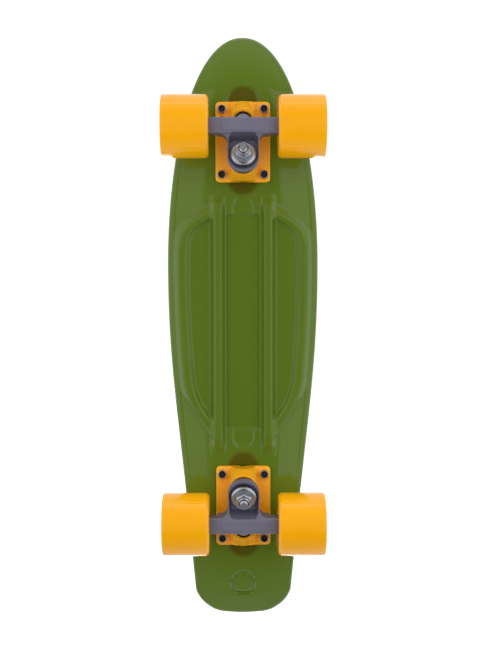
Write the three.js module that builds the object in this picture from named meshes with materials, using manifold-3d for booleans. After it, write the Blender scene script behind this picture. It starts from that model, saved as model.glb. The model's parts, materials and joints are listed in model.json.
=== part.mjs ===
// A plastic mini-cruiser skateboard: a moulded deck, two steering trucks and four wheels.
// Millimetres, +Z up, +Y towards the nose. The origin is on the ground under the middle of the deck.
// Everything is drawn about the middle between the trucks, and moved to the origin at the very end.
import * as THREE from "three";
import { mergeVertices } from "three/addons/utils/BufferGeometryUtils.js";
import Module from "manifold-3d";

const wasm = await Module();
wasm.setup();

// ---------------------------------------------------------------- driving dimensions

// Deck
const DECK_LENGTH = 582;
const TAIL_EXTRA = 11; // how much farther the tail reaches past its truck than the nose does
const DECK_WIDTH = 149.2;
const DECK_THICKNESS = 8;
const WIDEST_AHEAD = 59; // the widest place, ahead of the middle
const NOSE_FULLNESS = 0.94; // below 1 the nose is fuller than an ellipse
const TAIL_HALF_WIDTH = 48.2;
const TAIL_CORNER = 26; // length of the rounded corner along the side
const TAIL_FLAT_HALF = 26; // half of the nearly straight end between the corners
const TAIL_BOW = 2.1; // how far the end bows out between the corners
const SIDE_CURVE = 0.48; // how long the curve of the sides is at each end
const SIDE_FULLNESS = 0.75; // how long it stays at its full width
const TAIL_PINCH = 4.3; // how far the tail corners cut in
const TAIL_TAPER = 0.074; // how fast the sides close ahead of the tail corners
const RIM_RISE = 7; // how far the concave lifts the rim over the middle
const NOSE_RISE = 12;
const TAIL_RISE = 22;
const NOSE_CURVE = 1.8; // powers of the nose's, tail's and concave's curves
const TAIL_CURVE = 1.35;
const CONCAVE_CURVE = 1.7;
const FLAT_SHARE = 0.62; // the most of a cross-line that stays flat where the deck is narrow
const KICK_MARGIN = 4; // flat deck left beyond each baseplate before the ends turn up
const TRUCK_FROM_NOSE = 106.5; // nose tip to the middle of the front baseplate
const SPINE_FROM_NOSE = 70.5; // nose tip to where the deck's cross-lines begin to fan round the end

// Ribs and hollows moulded in the underside
const RIB_SPACING = 49;
const RIB_WIDTH = 7;
const RIB_DEPTH = 7;
const RIB_RAMP = 22;
const RIB_CHAMFER = 2;
const RIB_BURIED = 3; // how far a rib runs up into the deck
const CHANNEL_WIDTH = 29;
const CHANNEL_DEPTH = 3;
const POCKET_DEPTH = 4;
const POCKET_INNER = 34.5; // centre line to the straight inner wall
const POCKET_RIM = 19; // deck edge to the outer wall at the widest place
const POCKET_FRONT_MARGIN = 36; // front baseplate to the pocket's front corner
const POCKET_BACK_MARGIN = 42; // rear baseplate to the pocket's rear tip
const POCKET_FRONT_CURVE = 18; // length of the curve at its front
const POCKET_BACK_CURVE = 56; // length of the curve at its rear
const POCKET_TAPER = 4; // how far its outer wall closes in towards the rear
const CHANNEL_MARGIN = 33; // baseplate to the end of the channel
const PAD_WIDTH = 29; // rounded hollow under each baseplate
const PAD_OVERHANG = 12; // how far it shows beyond the baseplate
const PAD_DEPTH = 2;

// Mounting bolts: M5 in the old-school 2.5 by 1.625 inch pattern
const BOLT_SPACING_X = 41.3;
const BOLT_SPACING_Y = 63.5;
const BOLT_RADIUS = 2.5;
const BOLT_HEAD_RADIUS = 4.6;
const BOLT_HEAD_HEIGHT = 2.7;
const BOLT_SOCKET_FLATS = 3;
const BOLT_SOCKET_DEPTH = 1.8;
const BOLT_NUT_FLATS = 8;
const BOLT_NUT_HEIGHT = 5;
const SPARE_HOLE_STEP = 9.5; // the unused pair of holes, inboard of the outer pair

// Trucks
const TRUCK_HEIGHT = 46; // deck underside to the axle
const AXLE_OUTBOARD = 10.4; // baseplate middle to the axle
const BASEPLATE_WIDTH = 54;
const BASEPLATE_LENGTH = 79;
const BASEPLATE_THICKNESS = 6;
const BASEPLATE_CORNER = 4;
const SPINE_WIDTH = 25;
const SPINE_HEIGHT = 3;
const HANGER_HALF = 41.95;
const BEAM_HALF_DEPTH = 8.2;
const BEAM_HALF_HEIGHT = 10;
const BEAM_END_RADIUS = 8;
const BEAM_ROUND = 4; // length of its round end, and of the change to square
const PANEL_WIDTH = 41;
const PANEL_DEPTH = 9;
const PANEL_HEIGHT = 0.4;
const PANEL_CORNER = 2;

// Kingpin, and the steering axis at right angles to it
const KINGPIN_LEAN = THREE.MathUtils.degToRad(20);
const KINGPIN_INBOARD = 20; // baseplate middle to the middle of the yoke
const YOKE_DROP = 39; // deck underside to the middle of the yoke
const YOKE_THICKNESS = 8;
const YOKE_RADIUS = 15;
const YOKE_WALL = 1.4;
const YOKE_WALL_HEIGHT = 5; // of the thin wall round the road-side bushing
const YOKE_BORE_RADIUS = 6.5;
const YOKE_FILLET = 7.5;
const YOKE_RAMP = 4; // where its side walls begin to deepen towards the beam
const YOKE_SIDE_DEPTH = 6; // how far those walls reach below the axle
const YOKE_SETBACK = 0.8; // metal left between the hollow and the beam's face
const YOKE_CORNER = 3;
const WEB_HALF = 6;
const WEB_SETBACK = 8; // end of the web to the pivot
const WEB_SLOPE = 9;
const KINGPIN_RADIUS = 4;
const KINGPIN_HEAD_RADIUS = 6;
const KINGPIN_HEAD_HEIGHT = 5;
const KINGPIN_TIP = 3.4; // how far it stands out of its nut
const KINGPIN_SEAT = 5; // baseplate metal between its head and the board-side washer
const KINGPIN_NUT_FLATS = 14;
const KINGPIN_NUT_HEX_HEIGHT = 6;
const KINGPIN_NUT_COLLAR_RADIUS = 5.4;
const KINGPIN_NUT_HEIGHT = 8;
const BOARD_BUSHING_HEIGHT = 14.5;
const ROAD_BUSHING_HEIGHT = 9.5;
const BUSHING_RADIUS = 10.4;
const BUSHING_END_RADIUS = 9.6;
const BOARD_WASHER_RADIUS = 9.8;
const CUP_WASHER_RADIUS = 11.8;
const WASHER_THICKNESS = 1.5;
const CUP_WASHER_SKIRT = 2.5;
const CUP_WASHER_WALL = 0.7;
const KINGPIN_BOSS_RADIUS = 12.8;

// Pivot: a round-nosed stem in a plastic cup
const PIVOT_OUTBOARD = 20.6;
const PIVOT_LEAN = THREE.MathUtils.degToRad(25);
const PIVOT_RADIUS = 4.8;
const PIVOT_STEM_LENGTH = 20;
const PIVOT_ROOT_RADIUS = 8;
const PIVOT_CUP_WALL = 2.9;
const PIVOT_CUP_DEPTH = 6; // from the middle of the nose to the mouth
const PIVOT_CUP_FLARE = 1.7; // extra radius at the mouth, so that the stem can tilt
const PIVOT_BOSS_WALL = 3.2;
const PIVOT_BOSS_SHORT = 1.2; // how far the boss stops short of the cup's mouth

// Axle and wheels
const AXLE_RADIUS = 4;
const AXLE_NUT_FLATS = 12.7;
const AXLE_NUT_HEIGHT = 5.5;
const AXLE_TIP = 1.8;
const AXLE_WASHER_RADIUS = 7.2;
const AXLE_WASHER_THICKNESS = 0.9;
const BEARING_RADIUS = 11;
const BEARING_WIDTH = 7;
const BEARING_SPACER = 10;
const WHEEL_RADIUS = 30;
const WHEEL_WIDTH = 44.9;
const WHEEL_INNER_BEVEL = 4.6;
const WHEEL_OUTER_ROUND = 3;
const WHEEL_RECESS_RADIUS = 13.5;
const WHEEL_RECESS_FLARE = 1.5;
const WHEEL_LAND = 2.5; // step that the bearings stop against

// Clearances
const GAP = 0.3; // between faces that rest on each other
const THIN_WALL = 0.6; // the thinnest metal left round a bore
const PLAY = 0.3; // round a bolt, pin or axle in its hole
const SEAT_PLAY = 0.15; // round a bearing in its seat, and an axle in a bearing

// Facets
const WHEEL_FACETS = 28;
const ROUND_FACETS = 16;
const SMALL_FACETS = 12;
const CORNER_STEPS = 3;

// ---------------------------------------------------------------- places worked out from them

const axleHeight = WHEEL_RADIUS;
const deckUnderside = axleHeight + TRUCK_HEIGHT;
const deckTop = deckUnderside + DECK_THICKNESS;
const noseY = (DECK_LENGTH - TAIL_EXTRA) / 2;
const tailY = noseY - DECK_LENGTH;
const truckY = noseY - TRUCK_FROM_NOSE;
const spineY = noseY - SPINE_FROM_NOSE;
const plateEnd = truckY - BASEPLATE_LENGTH / 2; // the inboard end of a baseplate
const kickStart = truckY + BASEPLATE_LENGTH / 2 + KICK_MARGIN;
const flatHalf = BASEPLATE_WIDTH / 2 + 1; // half of the deck's flat middle

const yokeHalf = YOKE_THICKNESS / 2;
const boardWasherBottom = yokeHalf + GAP + BOARD_BUSHING_HEIGHT + GAP;
const boardWasherTop = boardWasherBottom + WASHER_THICKNESS;
const roadWasherTop = -(yokeHalf + GAP + ROAD_BUSHING_HEIGHT + GAP);
const roadWasherBottom = roadWasherTop - WASHER_THICKNESS;
const kingpinNutTop = roadWasherBottom - GAP;
const kingpinTip = kingpinNutTop - KINGPIN_NUT_HEIGHT - KINGPIN_TIP;
const kingpinSeat = boardWasherTop + GAP + KINGPIN_SEAT;

const pivotLength = (KINGPIN_INBOARD + PIVOT_OUTBOARD) / Math.cos(KINGPIN_LEAN);
const pivotDrop = YOKE_DROP - pivotLength * Math.sin(KINGPIN_LEAN);
const pivotCupInner = PIVOT_RADIUS + PLAY;
const pivotCupOuter = pivotCupInner + PIVOT_CUP_WALL;
const pivotBossRadius = pivotCupOuter + PLAY + PIVOT_BOSS_WALL;

const innerBearing = HANGER_HALF + AXLE_WASHER_THICKNESS + GAP;
const wheelMiddle = innerBearing + BEARING_WIDTH + BEARING_SPACER / 2;
const outerBearing = wheelMiddle + BEARING_SPACER / 2;
const outerWasher = outerBearing + BEARING_WIDTH + GAP;
const axleNut = outerWasher + AXLE_WASHER_THICKNESS + GAP;
const axleHalf = axleNut + AXLE_NUT_HEIGHT + AXLE_TIP;

// Where the axle crosses the kingpin's own axes
const axleFromYokeY = AXLE_OUTBOARD + KINGPIN_INBOARD;
const axleFromYokeZ = YOKE_DROP - TRUCK_HEIGHT;
const axleAlong = axleFromYokeY * Math.cos(KINGPIN_LEAN) + axleFromYokeZ * Math.sin(KINGPIN_LEAN);
const axleBelow = axleFromYokeZ * Math.cos(KINGPIN_LEAN) - axleFromYokeY * Math.sin(KINGPIN_LEAN);

// ---------------------------------------------------------------- materials

function finish(colour, roughness, metalness) {
  return new THREE.MeshStandardMaterial({ color: colour, roughness, metalness });
}

const deckPlastic = finish(0x4e6818, 0.3, 0);
const wheelUrethane = finish(0xf4ac00, 0.25, 0);
const platePaint = finish(0xe8a010, 0.4, 0.2);
const castMetal = finish(0x7b7a88, 0.5, 0.7);
const zincSteel = finish(0xc9cbd0, 0.3, 0.9);
const bushingRubber = finish(0x2a2a2c, 0.6, 0);
const cupNylon = finish(0x18181a, 0.5, 0);

// ---------------------------------------------------------------- making and cutting solids

// A closed geometry as a solid that can be cut and joined.
function solid(geometry) {
  const bare = geometry.clone();
  bare.deleteAttribute("normal");
  bare.deleteAttribute("uv");
  const merged = mergeVertices(bare, 1e-4);
  return new wasm.Manifold(
    new wasm.Mesh({
      numProp: 3,
      vertProperties: merged.attributes.position.array,
      triVerts: new Uint32Array(merged.index.array),
    }),
  );
}

// A cut or joined solid back as a geometry.
function geometryOf(body) {
  const made = body.getMesh();
  const geometry = new THREE.BufferGeometry();
  geometry.setAttribute("position", new THREE.BufferAttribute(made.vertProperties, 3));
  geometry.setIndex(new THREE.BufferAttribute(made.triVerts, 1));
  geometry.computeVertexNormals();
  return geometry;
}

// A named piece of the board.
function piece(name, shape, material) {
  const geometry = shape.isBufferGeometry ? shape : geometryOf(shape);
  const mesh = new THREE.Mesh(geometry, material);
  mesh.name = name;
  return mesh;
}

// A body turned about +Z. The profile is [radius, height] pairs, up the outside.
function turned(profile, facets) {
  const points = profile.map(([radius, height]) => new THREE.Vector2(radius, height));
  return new THREE.LatheGeometry(points, facets).rotateX(Math.PI / 2);
}

// A plain rod about +Z between two heights.
function rod(radius, from, to, facets) {
  return turned([[0, from], [radius, from], [radius, to], [0, to]], facets);
}

// A ring about +Z: a closed profile round the bore.
function ring(inner, outer, from, to, facets) {
  return turned([[inner, from], [outer, from], [outer, to], [inner, to], [inner, from]], facets);
}

// The profile of a rounded nose, from its widest place at height 0 to its tip.
function roundNose(radius) {
  const steps = 3;
  const points = [];
  for (let step = 0; step < steps; step++) {
    const angle = (Math.PI / 2) * (step / steps);
    points.push([radius * Math.cos(angle), radius * Math.sin(angle)]);
  }
  return [...points, [0, radius]];
}

// A flat shape given thickness along +Z between two heights.
function plate(shape, from, to, steps = CORNER_STEPS) {
  const options = { depth: to - from, bevelEnabled: false, curveSegments: steps };
  return new THREE.ExtrudeGeometry(shape, options).translate(0, 0, from);
}

// A rectangle with rounded corners, its middle at the origin.
function roundedRectangle(width, length, corner) {
  const x = width / 2 - corner;
  const y = length / 2 - corner;
  const shape = new THREE.Shape();
  shape.absarc(x, y, corner, 0, Math.PI / 2);
  shape.absarc(-x, y, corner, Math.PI / 2, Math.PI);
  shape.absarc(-x, -y, corner, Math.PI, 1.5 * Math.PI);
  shape.absarc(x, -y, corner, 1.5 * Math.PI, 2 * Math.PI);
  shape.closePath();
  return shape;
}

// A six-sided prism with its width across flats, about +Z.
function hexagon(flats, from, to) {
  return rod(flats / Math.sqrt(3), from, to, 6);
}

// ---------------------------------------------------------------- deck

// The right half of the deck's outline, from the nose tip to the middle of the tail, in short steps.
function deckHalfOutline() {
  const half = DECK_WIDTH / 2;
  const points = [new THREE.Vector2(0, noseY)];
  const noseSteps = 60;
  for (let step = 1; step < noseSteps; step++) {
    const angle = (Math.PI / 2) * (1 - step / noseSteps);
    const x = half * Math.cos(angle) ** NOSE_FULLNESS;
    const y = WIDEST_AHEAD + (noseY - WIDEST_AHEAD) * Math.sin(angle);
    points.push(new THREE.Vector2(x, y));
  }
  const widest = new THREE.Vector2(half, WIDEST_AHEAD);
  const cornerStart = new THREE.Vector2(TAIL_HALF_WIDTH, tailY + TAIL_CORNER);
  const sideReach = (WIDEST_AHEAD - cornerStart.y) * SIDE_CURVE;
  const side = new THREE.CubicBezierCurve(
    widest,
    new THREE.Vector2(half, WIDEST_AHEAD - SIDE_FULLNESS * sideReach),
    new THREE.Vector2(TAIL_HALF_WIDTH + TAIL_TAPER * sideReach, cornerStart.y + sideReach),
    cornerStart,
  );
  const cornerEnd = new THREE.Vector2(TAIL_FLAT_HALF, tailY + TAIL_BOW);
  const corner = new THREE.QuadraticBezierCurve(
    cornerStart,
    new THREE.Vector2(TAIL_HALF_WIDTH - TAIL_PINCH, tailY + TAIL_BOW + 2 * TAIL_PINCH),
    cornerEnd,
  );
  const end = new THREE.QuadraticBezierCurve(
    cornerEnd,
    new THREE.Vector2(TAIL_FLAT_HALF / 2, tailY),
    new THREE.Vector2(0, tailY),
  );
  points.push(...side.getPoints(60));
  points.push(...corner.getPoints(16).slice(1));
  points.push(...end.getPoints(12).slice(1));
  return points;
}

// Where a ray from a foot on the deck's middle line, heading out at an angle from +X, meets the outline.
function meetOutline(foot, angle, outline) {
  const out = new THREE.Vector2(Math.cos(angle), Math.sin(angle));
  const side = (p) => (p.x - foot.x) * out.y - (p.y - foot.y) * out.x;
  for (let i = 0; i + 1 < outline.length; i++) {
    const [a, b] = [outline[i], outline[i + 1]];
    const [before, after] = [side(a), side(b)];
    if (before * after > 0 || before === after) continue;
    const hit = a.clone().lerp(b, before / (before - after));
    if (hit.clone().sub(foot).dot(out) > 0) return hit;
  }
  return outline[0].clone();
}

// How far the deck's ends turn up at a place along it.
function endRise(y) {
  if (y > kickStart) return NOSE_RISE * ((y - kickStart) / (noseY - kickStart)) ** NOSE_CURVE;
  if (y < -kickStart) return TAIL_RISE * ((y + kickStart) / (tailY + kickStart)) ** TAIL_CURVE;
  return 0;
}

// The deck's plain shell. Its cross-lines run square across between the ends and fan round each end.
function deckShell() {
  const outline = deckHalfOutline();
  const edgeRound = DECK_THICKNESS / 2;
  const acrossShares = [0, 1];
  const outwardShares = [0.35, 0.75];

  // One loop of the skin, from the middle of the top, round the rim, to the middle of the underside.
  function crossLine(footY, angle) {
    const foot = new THREE.Vector2(0, footY);
    const edge = meetOutline(foot, angle, outline);
    const reach = edge.distanceTo(foot);
    const flat = Math.min(flatHalf, FLAT_SHARE * reach);
    const full = reach - edgeRound;
    const distances = [
      ...acrossShares.map((share) => share * flat),
      ...outwardShares.map((share) => flat + share * (full - flat)),
      full,
    ];
    const place = (distance, drop) => {
      const spot = foot.clone().lerp(edge, distance / reach);
      const lift = RIM_RISE * Math.max(0, (distance - flat) / (reach - flat)) ** CONCAVE_CURVE;
      return new THREE.Vector3(spot.x, spot.y, deckTop + lift + endRise(spot.y) - drop);
    };
    const corner = edgeRound * (1 - Math.SQRT1_2);
    const top = distances.map((distance) => place(distance, 0));
    const rim = [
      place(reach - corner, corner),
      place(reach, edgeRound),
      place(reach - corner, DECK_THICKNESS - corner),
    ];
    const bottom = distances.map((distance) => place(distance, DECK_THICKNESS)).reverse();
    return [...top, ...rim, ...bottom];
  }

  const fanSteps = 8;
  const sideSteps = 14;
  const quarter = Math.PI / 2;
  const right = [];
  for (let i = 0; i < fanSteps; i++) right.push(crossLine(spineY, quarter * (1 - i / fanSteps)));
  for (let i = 0; i <= sideSteps; i++) right.push(crossLine(spineY * (1 - (2 * i) / sideSteps), 0));
  for (let i = 1; i <= fanSteps; i++) right.push(crossLine(-spineY, -quarter * (i / fanSteps)));
  const mirrored = (line) => line.map((p) => new THREE.Vector3(-p.x, p.y, p.z));
  const left = right.slice(1, -1).map(mirrored).reverse();
  const loops = [...right, ...left];
  const perLoop = loops[0].length;
  const positions = loops.flat().flatMap((p) => [p.x, p.y, p.z]);
  const index = [];
  for (let i = 0; i < loops.length; i++) {
    const next = (i + 1) % loops.length;
    for (let j = 0; j + 1 < perLoop; j++) {
      const [a, b] = [i * perLoop + j, i * perLoop + j + 1];
      const [c, d] = [next * perLoop + j, next * perLoop + j + 1];
      index.push(a, c, b, b, c, d);
    }
  }
  const geometry = new THREE.BufferGeometry();
  geometry.setAttribute("position", new THREE.Float32BufferAttribute(positions, 3));
  geometry.setIndex(index);
  return geometry;
}

// A long rib with ramped ends and chamfered edges, hanging from the underside.
function deckRib(x) {
  const reach = plateEnd - PAD_OVERHANG;
  const side = new THREE.Shape();
  side.moveTo(-reach, RIB_BURIED);
  side.lineTo(-reach + RIB_RAMP, -RIB_DEPTH);
  side.lineTo(reach - RIB_RAMP, -RIB_DEPTH);
  side.lineTo(reach, RIB_BURIED);
  side.closePath();
  const options = {
    depth: RIB_WIDTH,
    bevelThickness: RIB_CHAMFER,
    bevelSize: RIB_CHAMFER,
    bevelOffset: -RIB_CHAMFER,
    bevelSegments: 1,
  };
  const rib = new THREE.ExtrudeGeometry(side, options);
  rib.translate(0, 0, -RIB_WIDTH / 2);
  rib.applyMatrix4(
    new THREE.Matrix4().makeBasis(
      new THREE.Vector3(0, 1, 0),
      new THREE.Vector3(0, 0, 1),
      new THREE.Vector3(1, 0, 0),
    ),
  );
  return rib.translate(x, 0, deckUnderside);
}

// The crescent hollow between a rib and the rim, on one side.
function sidePocket(sign) {
  const outer = DECK_WIDTH / 2 - POCKET_RIM;
  const front = plateEnd - POCKET_FRONT_MARGIN;
  const back = POCKET_BACK_MARGIN - plateEnd;
  const backOuter = outer - POCKET_TAPER;
  const shape = new THREE.Shape();
  shape.moveTo(POCKET_INNER, back);
  shape.quadraticCurveTo(backOuter, back + POCKET_BACK_CURVE / 4, backOuter, back + POCKET_BACK_CURVE);
  shape.lineTo(outer, front - POCKET_FRONT_CURVE);
  shape.quadraticCurveTo(outer, front, POCKET_INNER, front);
  shape.closePath();
  const hollow = plate(shape, deckUnderside - 3, deckUnderside + POCKET_DEPTH, 6);
  if (sign > 0) return solid(hollow);
  return solid(hollow).mirror([1, 0, 0]);
}

function deck() {
  let body = solid(deckShell());
  for (const sign of [-1, 1]) {
    body = body.add(solid(deckRib((sign * RIB_SPACING) / 2)));
    body = body.subtract(sidePocket(sign));
  }
  const channelLength = 2 * (plateEnd - CHANNEL_MARGIN);
  const channelShape = roundedRectangle(CHANNEL_WIDTH, channelLength, 3);
  body = body.subtract(solid(plate(channelShape, deckUnderside - 1, deckUnderside + CHANNEL_DEPTH)));
  const padShape = roundedRectangle(PAD_WIDTH, BASEPLATE_LENGTH + 2 * PAD_OVERHANG, PAD_WIDTH / 2 - 0.01);
  const holeTop = deckTop + 1;
  const sinkDepth = BOLT_HEAD_HEIGHT + PLAY;
  const sink = turned(
    [
      [0, deckUnderside - 1],
      [BOLT_RADIUS + PLAY, deckUnderside - 1],
      [BOLT_RADIUS + PLAY, deckTop - sinkDepth],
      [BOLT_HEAD_RADIUS + PLAY, deckTop - PLAY],
      [BOLT_HEAD_RADIUS + PLAY, holeTop],
      [0, holeTop],
    ],
    SMALL_FACETS,
  );
  for (const end of [-1, 1]) {
    const pad = plate(padShape, deckUnderside - 1, deckUnderside + PAD_DEPTH, 6);
    body = body.subtract(solid(pad.translate(0, end * truckY, 0)));
    for (const [x, y] of boltPlaces()) {
      body = body.subtract(solid(sink.clone().translate(x, end * truckY + y, 0)));
    }
  }
  return body;
}

// ---------------------------------------------------------------- truck, in its own axes
// The truck's origin is the middle of the baseplate on the deck's underside, +Y outboard.

// The four bolts of a truck, from its middle.
function boltPlaces() {
  const x = BOLT_SPACING_X / 2;
  const y = BOLT_SPACING_Y / 2;
  return [[-x, y], [x, y], [-x, -y], [x, -y]];
}

// From the kingpin's own axes, +Z up along the pin and +Y along the steering axis, to the truck's.
const kingpinFrame = new THREE.Matrix4()
  .makeTranslation(0, -KINGPIN_INBOARD, -YOKE_DROP)
  .multiply(new THREE.Matrix4().makeRotationX(KINGPIN_LEAN));

// From the pivot stem's own axes, +Z along the stem into the baseplate, to the truck's.
const pivotFrame = new THREE.Matrix4()
  .makeTranslation(0, PIVOT_OUTBOARD, -pivotDrop)
  .multiply(new THREE.Matrix4().makeRotationX(-PIVOT_LEAN));

function baseplate() {
  const outline = roundedRectangle(BASEPLATE_WIDTH, BASEPLATE_LENGTH, BASEPLATE_CORNER);
  const top = -GAP;
  const bottom = -BASEPLATE_THICKNESS;
  const spineShape = roundedRectangle(SPINE_WIDTH, BASEPLATE_LENGTH, BASEPLATE_CORNER);
  const kingpinBoss = rod(KINGPIN_BOSS_RADIUS, boardWasherTop + GAP, YOKE_DROP, ROUND_FACETS);
  const pivotBossEnd = PIVOT_BOSS_SHORT - PIVOT_CUP_DEPTH;
  const pivotBoss = rod(pivotBossRadius, pivotBossEnd, YOKE_DROP, ROUND_FACETS);
  const spine = plate(spineShape, bottom - SPINE_HEIGHT, top);
  let bosses = solid(kingpinBoss.applyMatrix4(kingpinFrame));
  bosses = bosses.add(solid(pivotBoss.applyMatrix4(pivotFrame)));
  bosses = bosses.add(solid(spine));
  bosses = bosses.intersect(solid(plate(outline, -TRUCK_HEIGHT, top)));
  let body = solid(plate(outline, bottom, top)).add(bosses);

  const past = 2 * BASEPLATE_THICKNESS;
  const hole = rod(BOLT_RADIUS + PLAY, bottom - 1, 1, SMALL_FACETS);
  const spare = BOLT_SPACING_Y / 2 - SPARE_HOLE_STEP;
  const spares = [[-BOLT_SPACING_X / 2, spare], [BOLT_SPACING_X / 2, spare]];
  for (const [x, y] of [...boltPlaces(), ...spares]) {
    body = body.subtract(solid(hole.clone().translate(x, y, 0)));
  }
  const pin = rod(KINGPIN_RADIUS + PLAY, 0, YOKE_DROP + past, SMALL_FACETS);
  const headPocket = rod(KINGPIN_HEAD_RADIUS + PLAY, kingpinSeat, YOKE_DROP + past, SMALL_FACETS);
  const cupSeat = rod(pivotCupOuter + PLAY, -PIVOT_CUP_DEPTH - past, pivotCupOuter + PLAY, ROUND_FACETS);
  body = body.subtract(solid(pin.applyMatrix4(kingpinFrame)));
  body = body.subtract(solid(headPocket.applyMatrix4(kingpinFrame)));
  return body.subtract(solid(cupSeat.applyMatrix4(pivotFrame)));
}

// One cross-section of the hanger's beam: an ellipse squared off towards the middle.
function beamSection(x, halfDepth, halfHeight, squareness) {
  const points = [];
  const count = 16;
  const power = 2 / squareness;
  for (let i = 0; i < count; i++) {
    const angle = (2 * Math.PI * (i + 0.5)) / count;
    const [c, s] = [Math.cos(angle), Math.sin(angle)];
    const y = halfDepth * Math.sign(c) * Math.abs(c) ** power;
    const z = halfHeight * Math.sign(s) * Math.abs(s) ** power;
    points.push(new THREE.Vector3(x, AXLE_OUTBOARD + y, -TRUCK_HEIGHT + z));
  }
  return points;
}

// A closed skin over a row of sections, with a flat face at each end.
function loft(sections) {
  const count = sections[0].length;
  const positions = sections.flat().flatMap((p) => [p.x, p.y, p.z]);
  const index = [];
  for (let row = 0; row + 1 < sections.length; row++) {
    for (let i = 0; i < count; i++) {
      const next = (i + 1) % count;
      const [a, b] = [row * count + i, row * count + next];
      const [c, d] = [a + count, b + count];
      index.push(a, b, c, b, d, c);
    }
  }
  const last = (sections.length - 1) * count;
  for (let i = 1; i + 1 < count; i++) {
    index.push(0, i + 1, i);
    index.push(last, last + i, last + i + 1);
  }
  const geometry = new THREE.BufferGeometry();
  geometry.setAttribute("position", new THREE.Float32BufferAttribute(positions, 3));
  geometry.setIndex(index);
  return geometry;
}

// The beam that holds the axle: square in the middle, round where it enters the wheels.
function hangerBeam() {
  const stations = [
    [HANGER_HALF, BEAM_END_RADIUS, BEAM_END_RADIUS, 2],
    [HANGER_HALF - BEAM_ROUND, BEAM_END_RADIUS, BEAM_END_RADIUS, 2],
    [HANGER_HALF - 2 * BEAM_ROUND, BEAM_HALF_DEPTH, BEAM_HALF_HEIGHT, 4],
  ];
  const right = stations.map(([x, depth, height, square]) => beamSection(x, depth, height, square));
  const left = stations.map(([x, depth, height, square]) => beamSection(-x, depth, height, square));
  return loft([...left, ...right.reverse()]);
}

// The outline of the yoke from above: round at the kingpin, flared into the beam.
function yokeOutline(radius, length, fillet) {
  const flare = fillet + 0.01;
  const shape = new THREE.Shape();
  shape.absarc(0, 0, radius, Math.PI, 2 * Math.PI);
  shape.lineTo(radius, length - 2 * flare);
  shape.absarc(radius + flare, length - 2 * flare, flare, Math.PI, Math.PI / 2, true);
  shape.lineTo(radius + flare, length);
  shape.lineTo(-radius - flare, length);
  shape.lineTo(-radius - flare, length - flare);
  shape.absarc(-radius - flare, length - 2 * flare, flare, Math.PI / 2, 0, true);
  shape.closePath();
  return shape;
}

// A flat shape in the kingpin's Y and Z, given thickness across the board.
function sidePlate(points, halfThickness) {
  const shape = new THREE.Shape(points.map(([y, z]) => new THREE.Vector2(y, z)));
  const slab = plate(shape, -halfThickness, halfThickness);
  return slab.applyMatrix4(
    new THREE.Matrix4().makeBasis(
      new THREE.Vector3(0, 1, 0),
      new THREE.Vector3(0, 0, 1),
      new THREE.Vector3(1, 0, 0),
    ),
  );
}

function hanger() {
  const beamFace = axleAlong - BEAM_HALF_DEPTH;
  const yokeEnd = axleAlong + 2;
  const wallBottom = -yokeHalf - YOKE_WALL_HEIGHT;
  const sideBottom = axleBelow - YOKE_SIDE_DEPTH;
  const sideProfile = [
    [-2 * YOKE_RADIUS, wallBottom],
    [YOKE_RAMP, wallBottom],
    [beamFace, sideBottom],
    [yokeEnd, sideBottom],
    [yokeEnd, yokeHalf],
    [-2 * YOKE_RADIUS, yokeHalf],
  ];
  const webBack = pivotLength - WEB_SETBACK;
  const webProfile = [
    [YOKE_RADIUS / 2, 0],
    [beamFace, axleBelow],
    [webBack, axleBelow],
    [webBack, -yokeHalf],
    [webBack - WEB_SLOPE, yokeHalf],
    [YOKE_RADIUS / 2, yokeHalf],
  ];
  const outline = plate(yokeOutline(YOKE_RADIUS, yokeEnd, YOKE_FILLET), 2 * axleBelow, YOKE_DROP, 8);
  const yoke = solid(outline).intersect(solid(sidePlate(sideProfile, YOKE_RADIUS * 2)));
  const web = solid(sidePlate(webProfile, WEB_HALF));
  const yokeWeb = yoke.add(web).transform(kingpinFrame.elements);
  const stem = turned(
    [
      [0, -PIVOT_STEM_LENGTH],
      [PIVOT_ROOT_RADIUS, -PIVOT_STEM_LENGTH],
      [PIVOT_ROOT_RADIUS, -PIVOT_STEM_LENGTH / 2],
      [PIVOT_RADIUS + PLAY, -PIVOT_CUP_DEPTH],
      ...roundNose(PIVOT_RADIUS),
    ],
    ROUND_FACETS,
  );
  const panelTop = -TRUCK_HEIGHT - BEAM_HALF_HEIGHT / 2;
  const panelBottom = -TRUCK_HEIGHT - BEAM_HALF_HEIGHT - PANEL_HEIGHT;
  const panel = plate(roundedRectangle(PANEL_WIDTH, PANEL_DEPTH, PANEL_CORNER), panelBottom, panelTop);

  let body = solid(hangerBeam()).add(solid(panel.translate(0, AXLE_OUTBOARD, 0)));
  body = body.add(yokeWeb).add(solid(stem.applyMatrix4(pivotFrame)));

  const cavityEnd = beamFace - YOKE_SETBACK;
  const cavityShape = new THREE.Shape();
  const cavityRadius = YOKE_RADIUS - YOKE_WALL;
  cavityShape.absarc(0, 0, cavityRadius, Math.PI, 2 * Math.PI);
  cavityShape.lineTo(cavityRadius, cavityEnd - YOKE_CORNER);
  cavityShape.lineTo(cavityRadius - YOKE_CORNER, cavityEnd);
  cavityShape.lineTo(YOKE_CORNER - cavityRadius, cavityEnd);
  cavityShape.lineTo(-cavityRadius, cavityEnd - YOKE_CORNER);
  cavityShape.closePath();
  const cavity = plate(cavityShape, 3 * axleBelow, -yokeHalf, 8);
  const bore = rod(YOKE_BORE_RADIUS, -YOKE_THICKNESS, YOKE_THICKNESS, ROUND_FACETS);
  body = body.subtract(solid(cavity.applyMatrix4(kingpinFrame)));
  body = body.subtract(solid(bore.applyMatrix4(kingpinFrame)));
  const axleBore = rod(AXLE_RADIUS + PLAY, -HANGER_HALF - 1, HANGER_HALF + 1, ROUND_FACETS);
  return body.subtract(solid(alongAxle(axleBore)));
}

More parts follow.
